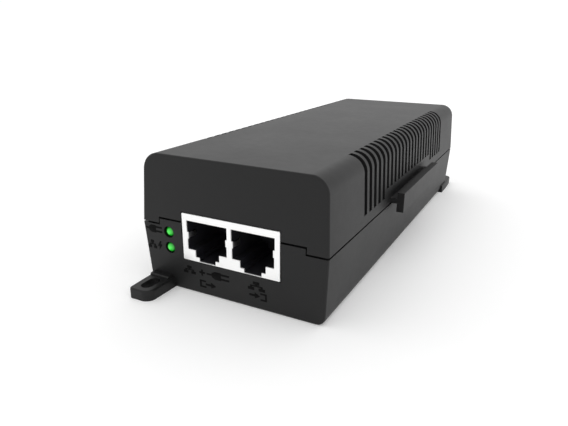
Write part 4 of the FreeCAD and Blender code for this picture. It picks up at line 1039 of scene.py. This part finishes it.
class INJECTOR_OT_screws(bpy.types.Operator):
    """Turn the four case screws that come up from below"""
    bl_idname = "injector.screws"
    bl_label = "Case screws"

    def execute(self, context):
        low, high = span("case_screws")
        radius, head = 2.6, 2.0
        bm = bmesh.new()
        for x in (low.x + radius, high.x - radius):
            for y in (low.y + radius, high.y - radius):
                add_screw(bm, (x, y, low.z + head), "-Z", radius, head, 1.45, high.z - low.z - head)
        finish_piece("cover_screws", bm, shared("screw_steel"), ["case_screws"])
        return {"FINISHED"}


class INJECTOR_OT_label(bpy.types.Operator):
    """Rule the blank label and print its pictograms"""
    bl_idname = "injector.label"
    bl_label = "Label"

    def execute(self, context):
        low, high = span("rating_label")
        long, wide = high.y - low.y, high.x - low.x
        ink = 0.02
        face = Matrix.Translation((0, 0, low.z)) @ Matrix.Rotation(math.radians(180), 4, "X") \
            @ Matrix.Rotation(math.radians(90), 4, "Z")
        bm = bmesh.new()
        margin, frame_width, corner = 2, 0.35, 1.5
        border = []
        for inset in (0, frame_width):
            half_long, half_wide = long / 2 - margin - inset, wide / 2 - margin - inset
            border.append(rounded((-half_long, -half_wide), (half_long, half_wide), corner - inset))
        add_plate(bm, border, ink, face)

        # Ruled lines and bars: left end, top, length and height of each.
        rules = [(-30, 7.0, 60, 0.2), (-30, -7.0, 60, 0.2)]
        rules += [(-28, 4.2 - row * 3.0, 24 - 5 * (row % 2), 0.7) for row in range(4)]
        rules += [(4, 4.2 - row * 3.0, 22 - 4 * (row % 3), 0.7) for row in range(4)]
        rules += [(12.0 + 0.55 * i, 13, 0.3, 4) for i in range(28) if i % 5 not in (1, 3)]
        for x, y, length, height in rules:
            add_plate(bm, [[(x, y), (x + length, y), (x + length, y - height), (x, y - height)]], ink, face)
        row = [(PLUG, -22, 2.0), (ARROW, -14.5, 1.8), (BOLT, -9, 2.0), (PLUS, -4.5, 2.0), (NETWORK, 1, 2.0),
               (ARROW, 7.5, 1.8), (NETWORK, 14, 2.0)]
        for outline, x, size in row:
            add_plate(bm, [moved(outline, x, -10.8, size, size)], ink, face)
        finish_piece("label_print", bm, shared("print_black"))
        dress("rating_label", shared("label_film"))
        return {"FINISHED"}


def add_disc_part(bm, wires, node):
    """A dipped disc standing on two leads, with the coating run a little way down each."""
    low, high, centre = extent(node)
    radius = (high.y - low.y) / 2
    thick = (high.x - low.x) / 2
    middle_z = high.z - radius
    edge = thick * 0.8
    profile = ([(0, -thick)] + [(radius * 0.35, -thick * 0.98)] + arc((radius - edge, 0), edge, -75, 75, 8)
               + [(radius * 0.35, thick * 0.98), (0, thick)])
    add_turned(bm, profile, set_at((centre.x, centre.y, middle_z), "X"), steps=36)
    for side in (-1, 1):
        y = centre.y + side * PIN_SPREAD
        x = centre.x + side * 0.6
        drop = [(0, 0), (0.75, 0.4), (0.55, 1.6), (0.34, 2.6), (0, 2.6)]
        top = middle_z - math.sqrt(max(radius ** 2 - PIN_SPREAD ** 2, 0)) + 0.9
        add_turned(bm, drop, set_at((x, y, top), "-Z"), steps=14)
        add_lead(wires, x, y, top)


class INJECTOR_OT_mains_parts(bpy.types.Operator):
    """Make the fuse, the dipped discs and the boxed capacitor"""
    bl_idname = "injector.mains_parts"
    bl_label = "Mains parts"

    def execute(self, context):
        wires = bmesh.new()
        low, high, centre = extent("mains_fuse")
        radius = (high.x - low.x) / 2
        height = high.z - low.z
        bm = bmesh.new()
        profile = ([(0, 0.4), (radius - 0.9, 0.4), (radius - 0.7, 0), (radius, 0), (radius, 1.1),
                    (radius - 0.15, 1.25)] + arc((radius - 0.75, height - 0.8), 0.6, 0, 90)
                   + [(1.0, height - 0.2), (0.9, height), (0, height)])
        add_turned(bm, profile, set_at((centre.x, centre.y, low.z), "Z"), steps=40)
        for side in (-1, 1):
            add_lead(wires, centre.x, centre.y + side * PIN_SPREAD, low.z + 1.2, CAN_LEAD)
        finish_piece("mains_fuse_can", bm, shared("fuse_plastic"), ["mains_fuse"])

        for node, piece, finish in (("surge_varistor", "varistor_disc", "varistor_coat"),
                                    ("ntc_thermistor", "thermistor_disc", "ntc_coat"),
                                    ("y_capacitor", "y_capacitor_disc", "ycap_coat")):
            bm = bmesh.new()
            add_disc_part(bm, wires, node)
            finish_piece(piece, bm, shared(finish), [node])

        low, high = span("x_capacitor")
        bm = bmesh.new()
        add_box(bm, (low.x, low.y, low.z + 0.5), high, 0.8, 3)
        for x in (low.x + 1.6, high.x - 1.6):
            for y in (low.y + 1.4, high.y - 1.4):
                add_turned(bm, drum_profile(0.8, 0.8, 0.15), set_at((x, y, low.z), "Z"), steps=14)
        for x in (low.x + 1.5, high.x - 1.5):
            add_lead(wires, x, (low.y + high.y) / 2, low.z + 1.0, THICK_LEAD)
        finish_piece("x_capacitor_box", bm, shared("xcap_plastic"), ["x_capacitor"])
        finish_piece("part_leads", wires, shared("blade_metal"))
        return {"FINISHED"}


class INJECTOR_OT_choke(bpy.types.Operator):
    """Wind the two coils of the ring choke"""
    bl_idname = "injector.choke"
    bl_label = "Ring choke"

    def execute(self, context):
        low, high, centre = extent("choke_core")
        radius, bore, thick, edge = (high.x - low.x) / 2, 4.4, (high.y - low.y) / 2, 0.8
        bm = bmesh.new()
        profile = []
        for r, h, start in ((radius - edge, thick - edge, 0), (bore + edge, thick - edge, 90),
                            (bore + edge, edge - thick, 180), (radius - edge, edge - thick, 270)):
            profile += arc((r, h), edge, start, start + 90, 3)
        add_turned(bm, profile, set_at(centre, "Y"), steps=48, closed=True)
        finish_piece("choke_ring", bm, shared("ferrite"), ["choke_core"])

        wire, turns, spread, foot_out = 0.42, 11, 128.0, 3.2
        rise = wire + 0.18
        middle_r = (radius + bore) / 2
        half_r, half_y = (radius - bore) / 2 + rise, thick + rise
        corners = [(half_r, 0), (half_r, half_y), (0, half_y), (-half_r, half_y), (-half_r, 0),
                   (-half_r, -half_y), (0, -half_y), (half_r, -half_y)]
        bm = bmesh.new()
        for side in (0, 180):
            path = []
            steps = turns * len(corners)
            for i in range(steps + 1):
                across, along = corners[i % len(corners)]
                angle = math.radians(side - spread / 2 + spread * i / steps)
                reach = middle_r + across
                path.append((centre.x + reach * math.cos(angle), centre.y + along,
                             centre.z + reach * math.sin(angle)))
            first, last = path[0], path[-1]
            foot = first if first[2] < last[2] else last
            other = last if foot is first else first
            out = 1 if other[0] > centre.x else -1
            near_hole = (foot[0], foot[1] - foot_out)
            far_hole = (centre.x + out * 4.5, centre.y + 4.2)
            foot_way = [(foot[0], foot[1] - foot_out + 1.0, foot[2] + 0.3), (*near_hole, LEAD_END)]
            far_way = [(centre.x + out * 4.6, centre.y + 4.0, other[2] - 1),
                       (centre.x + out * 6.6, centre.y + 4.3, centre.z),
                       (*far_hole, BOARD_TOP + 2), (*far_hole, LEAD_END)]
            if foot is first:
                path = foot_way[::-1] + path + far_way
            else:
                path = far_way[::-1] + path + foot_way
            LEAD_PLACES.extend((near_hole, far_hole))
            add_tube(bm, path, wire)
        finish_piece("choke_turns", bm, shared("copper_wire"), ["choke_windings"])
        return {"FINISHED"}


def add_can(bm, wires, x, y, radius, height):
    """A capacitor can: rubber seal, crimp groove, sleeve, and a bare top set in a rolled rim."""
    groove = radius - 0.6
    profile = ([(0, 0.5), (radius - 1.6, 0.5), (radius - 1.4, 0.1), (radius - 0.6, 0)]
               + arc((radius - 0.5, 0.5), 0.5, -60, 0, 3)
               + [(radius, 1.6), (radius - 0.12, 1.8), (groove, 2.2), (groove, 2.5), (radius - 0.12, 2.9),
                  (radius, 3.1)]
               + arc((radius - 0.7, height - 0.7), 0.7, 0, 90)
               + [(radius - 1.1, height), (radius - 1.25, height - 0.25), (0, height - 0.3)])
    add_turned(bm, profile, set_at((x, y, BOARD_TOP), "Z"), steps=48)
    for side in (-1, 1):
        add_lead(wires, x, y + side * radius * 0.45, BOARD_TOP + 0.8, CAN_LEAD)


class INJECTOR_OT_cans(bpy.types.Operator):
    """Turn the bulk capacitor and the row of output capacitors"""
    bl_idname = "injector.cans"
    bl_label = "Capacitor cans"

    def execute(self, context):
        wires = bmesh.new()
        low, high, centre = extent("bulk_capacitor")
        radius = (high.x - low.x) / 2
        bm = bmesh.new()
        add_can(bm, wires, centre.x, centre.y, radius, high.z - BOARD_TOP)
        finish = can_sleeve("can_sleeve_bulk", centre.x, centre.y, radius, high.z)
        finish_piece("bulk_can", bm, finish, ["bulk_capacitor"])

        low, high = span("output_capacitors")
        radius = (high.x - low.x) / 2
        x, first, pitch, count = (low.x + high.x) / 2, low.y + radius, 11.0, 3
        bm = bmesh.new()
        for i in range(count):
            add_can(bm, wires, x, first + i * pitch, radius, high.z - BOARD_TOP)
        finish = can_sleeve("can_sleeve_output", x, first, radius, high.z, pitch)
        finish_piece("output_cans", bm, finish, ["output_capacitors"])
        finish_piece("can_leads", wires, shared("blade_metal"))
        return {"FINISHED"}


class INJECTOR_OT_transformer(bpy.types.Operator):
    """Wrap the transformer's coil on its bobbin"""
    bl_idname = "injector.transformer"
    bl_label = "Transformer"

    def execute(self, context):
        low, high, centre = extent("transformer_winding")
        half_x, half_y = (high.x - low.x) / 2, (high.y - low.y) / 2
        bore = ring((centre.x, centre.y), 4.8, 32)
        flange, pins, pin_pitch = 0.7, 4, 4.0

        def outline(inset, radius):
            return rounded((centre.x - half_x + inset, centre.y - half_y + inset),
                           (centre.x + half_x - inset, centre.y + half_y - inset), radius, 6)

        bm = bmesh.new()
        foot = Matrix.Translation((0, 0, low.z + flange))
        add_plate(bm, [outline(0.5, 3.6), bore], high.z - low.z - 2 * flange, foot, bevel=0.3)
        finish_piece("transformer_coil", bm, shared("coil_tape"), ["transformer_winding"])

        bm = bmesh.new()
        for z in (low.z, high.z - flange):
            add_plate(bm, [outline(0, 1.5), bore], flange, Matrix.Translation((0, 0, z)), bevel=0.1)
        leads = bmesh.new()
        for side in (-1, 1):
            near, far = sorted((centre.y + side * 4.9, centre.y + side * half_y))
            add_box(bm, (centre.x - half_x, near, BOARD_TOP + 0.6), (centre.x + half_x, far, low.z), 0.25)
            for i in range(pins):
                x = centre.x + (i - (pins - 1) / 2) * pin_pitch
                add_lead(leads, x, centre.y + side * (half_y - 1.2), BOARD_TOP + 1.2, THICK_LEAD)
        finish_piece("transformer_bobbin", bm, shared("holder_plastic"))
        finish_piece("transformer_pins", leads, shared("blade_metal"))
        dress("transformer_core", shared("ferrite"))
        return {"FINISHED"}


class INJECTOR_OT_inductor(bpy.types.Operator):
    """Wind the drum inductor of the output"""
    bl_idname = "injector.inductor"
    bl_label = "Output inductor"

    def execute(self, context):
        low, high, centre = extent("output_inductor")
        radius, height, flange, core = (high.x - low.x) / 2, high.z - low.z, 2.0, 3.2
        bm = bmesh.new()
        profile = ([(0, 0)] + arc((radius - 0.4, 0.4), 0.4, -90, 0, 3)
                   + [(radius, flange - 0.5), (radius - 0.4, flange), (core, flange), (core, height - flange),
                      (radius - 0.4, height - flange), (radius, height - flange + 0.5)]
                   + arc((radius - 0.4, height - 0.4), 0.4, 0, 90, 3) + [(0, height)])
        add_turned(bm, profile, set_at((centre.x, centre.y, low.z), "Z"), steps=40)
        finish_piece("inductor_drum", bm, shared("ferrite"), ["output_inductor"])

        # The path's points stand outside the round coil that the curve through them makes.
        wire = 0.4
        turns = int((height - 2 * flange - wire) / (2 * wire))
        corners, inward = 8, 0.927
        reach = (core + wire + 0.55) / inward
        path = []
        for i in range(turns * corners + 1):
            angle = i * 2 * math.pi / corners
            path.append((centre.x + reach * math.cos(angle), centre.y + reach * math.sin(angle),
                         low.z + flange + wire + 2 * wire * i / corners))
        bm = bmesh.new()
        add_tube(bm, path, wire)
        finish_piece("inductor_turns", bm, shared("copper_wire"))
        return {"FINISHED"}


# How far inside a moulded body its finish begins, so that the metal's own faces stay metal.
SKIN = 0.02


class INJECTOR_OT_power(bpy.types.Operator):
    """Finish the heatsinks, the power devices and the bridge, and turn their screws"""
    bl_idname = "injector.power"
    bl_label = "Power devices"

    def execute(self, context):
        lift, height, tab = BOARD_TOP + 4.0, 9.0, 1.3
        for sink in ("primary_heatsink", "secondary_heatsink"):
            dress(sink, shared("sink_aluminium"))
        screw_low, screw_high = span("heatsink_screws")
        z = (screw_low.z + screw_high.z) / 2
        bm = bmesh.new()
        for node, facing in (("primary_transistor", 1), ("output_rectifier", -1)):
            low, high = span(node)
            face = low.y if facing > 0 else high.y

            def is_epoxy(x, y, z, face=face, facing=facing):
                away = (y - face) * facing
                return z.above(lift + SKIN) * z.below(lift + height - SKIN) * away.above(tab + SKIN)

            dress(node, epoxy_and_metal("chip_epoxy_" + node, is_epoxy))
            axis = "Y" if facing > 0 else "-Y"
            add_screw(bm, (0, face + facing * tab, z), axis, 2.6, 1.8, 1.4, tab + 2.0)
        finish_piece("device_screws", bm, shared("screw_steel"), ["heatsink_screws"])

        low, high = span("bridge_rectifier")
        stand = low.z + 2.0
        dress("bridge_rectifier", epoxy_and_metal("chip_epoxy_bridge", lambda x, y, z: z.above(stand - SKIN)))
        return {"FINISHED"}


class INJECTOR_OT_chips(bpy.types.Operator):
    """Finish the chips and shape the data magnetics"""
    bl_idname = "injector.chips"
    bl_label = "Chips"

    def execute(self, context):
        reach = 1.0
        for node in ("optocoupler", "controller_chip", "poe_chip"):
            low, high = span(node)

            def is_epoxy(x, y, z, low=low, high=high):
                return x.above(low.x + reach + SKIN) * x.below(high.x - reach - SKIN)

            dress(node, epoxy_and_metal("chip_epoxy_" + node, is_epoxy))

        low, high = span("data_magnetics")
        bm = bmesh.new()
        add_box(bm, (low.x + reach, low.y, low.z + 0.3), (high.x - reach, high.y, high.z), 0.3)
        wires = bmesh.new()
        count, wire = 12, 0.14
        pitch = (high.y - low.y) / count
        wing = [(-0.3, 2.2), (0.35, 2.2), (0.45, 1.2), (0.5, wire), (0.98, wire)]
        for side in (-1, 1):
            edge = (low.x + reach) if side < 0 else (high.x - reach)
            for i in range(count):
                y = low.y + (i + 0.5) * pitch
                path = [(edge + side * out, y, low.z + rise) for out, rise in wing]
                add_tube(wires, path, wire)
        first_pin_dot = set_at((low.x + 2.4, low.y + 1.6, high.z - 0.06), "Z")
        add_turned(bm, drum_profile(0.6, 0.12, 0.05), first_pin_dot, 16)
        finish_piece("magnetics_block", bm, shared("magnetics"), ["data_magnetics"])
        finish_piece("magnetics_pins", wires, shared("blade_metal"))
        return {"FINISHED"}


# Rows of small parts on the board: first x and y, step in x and y, how many, and which way they lie.
SMALL_ROWS = [
    (-10.0, -29.0, 2.2, 0.0, 6, "Y"), (-10.0, -33.0, 2.2, 0.0, 4, "Y"), (-22.5, -57.0, 2.4, 0.0, 3, "Y"),
    (-23.0, 14.0, 0.0, 2.0, 3, "X"), (-23.0, -24.0, 2.2, 0.0, 3, "Y"), (8.5, -31.0, 0.0, 2.0, 5, "X"),
    (-13.0, 2.5, 0.0, 2.0, 3, "X"), (17.0, -58.0, 2.2, 0.0, 3, "Y"), (-16.5, 52.0, -2.4, 0.0, 3, "Y"),
]


class INJECTOR_OT_board(bpy.types.Operator):
    """Finish the board and its film, and add small parts and solder joints"""
    bl_idname = "injector.board"
    bl_label = "Board"

    def execute(self, context):
        dress("circuit_board", shared("board_laminate"))
        dress("insulation_sheet", shared("insulation_film"))
        bodies, ends = bmesh.new(), bmesh.new()
        for x, y, step_x, step_y, count, way in SMALL_ROWS:
            for i in range(count):
                centre = Vector((x + i * step_x, y + i * step_y, BOARD_TOP))
                long = Vector((1, 0, 0)) if way == "X" else Vector((0, 1, 0))
                half_wide = Vector((0.4, 0.4, 0)) - 0.4 * long
                top = Vector((0, 0, 0.5))
                half = 0.5 * long + half_wide
                add_box(bodies, centre - half, centre + half + top, 0.06, 1)
                cap_half = 0.17 * long + half_wide * 1.05
                for side in (-1, 1):
                    end = centre + side * 0.65 * long
                    add_box(ends, end - cap_half, end + cap_half + top * 1.04, 0.06, 1)
        finish_piece("small_part_bodies", bodies, shared("magnetics"))
        finish_piece("small_part_ends", ends, shared("blade_metal"))

        joints = bmesh.new()
        fillet = [(0.85, 0), (0.7, 0.1), (0.5, 0.4), (0.4, 0.75), (0, 0.85)]
        for x, y in LEAD_PLACES:
            add_turned(joints, [(0, 0)] + fillet, set_at((x, y, BOARD_LOW.z), "-Z"), steps=12)
        finish_piece("solder_joints", joints, shared("blade_metal"))
        return {"FINISHED"}


class INJECTOR_PT_build(bpy.types.Panel):
    """Lists the steps of the build and what a user can change"""
    bl_idname = "INJECTOR_PT_build"
    bl_label = "PoE Injector"
    bl_space_type = "VIEW_3D"
    bl_region_type = "UI"
    bl_category = "Injector"

    def draw(self, context):
        for name in LOOKS:
            look = getattr(context.scene, name)
            for setting in look.__annotations__:
                self.layout.prop(look, setting)
        for step in STEPS:
            self.layout.operator(step.bl_idname)


LOOKS = {"injector_case": CaseLook, "injector_port": PortLook, "injector_lamp": LampLook,
         "injector_stage": StageLook}

STEPS = [
    INJECTOR_OT_stage, INJECTOR_OT_case, INJECTOR_OT_marks, INJECTOR_OT_jack, INJECTOR_OT_lamps,
    INJECTOR_OT_inlet, INJECTOR_OT_screws, INJECTOR_OT_label, INJECTOR_OT_mains_parts, INJECTOR_OT_choke,
    INJECTOR_OT_cans, INJECTOR_OT_transformer, INJECTOR_OT_inductor, INJECTOR_OT_power,
    INJECTOR_OT_chips, INJECTOR_OT_board,
]


def register():
    for item in [*LOOKS.values(), *STEPS, INJECTOR_PT_build]:
        bpy.utils.register_class(item)
    for name, look in LOOKS.items():
        setattr(bpy.types.Scene, name, PointerProperty(type=look))


def unregister():
    for name in LOOKS:
        delattr(bpy.types.Scene, name)
    for item in reversed([*LOOKS.values(), *STEPS, INJECTOR_PT_build]):
        bpy.utils.unregister_class(item)


def main():
    register()
    bpy.ops.injector.stage()
    bpy.ops.injector.case()
    bpy.ops.injector.marks()
    bpy.ops.injector.jack()
    bpy.ops.injector.lamps()
    bpy.ops.injector.inlet()
    bpy.ops.injector.screws()
    bpy.ops.injector.label()
    bpy.ops.injector.mains_parts()
    bpy.ops.injector.choke()
    bpy.ops.injector.cans()
    bpy.ops.injector.transformer()
    bpy.ops.injector.inductor()
    bpy.ops.injector.power()
    bpy.ops.injector.chips()
    bpy.ops.injector.board()


if __name__ == "__main__":
    main()
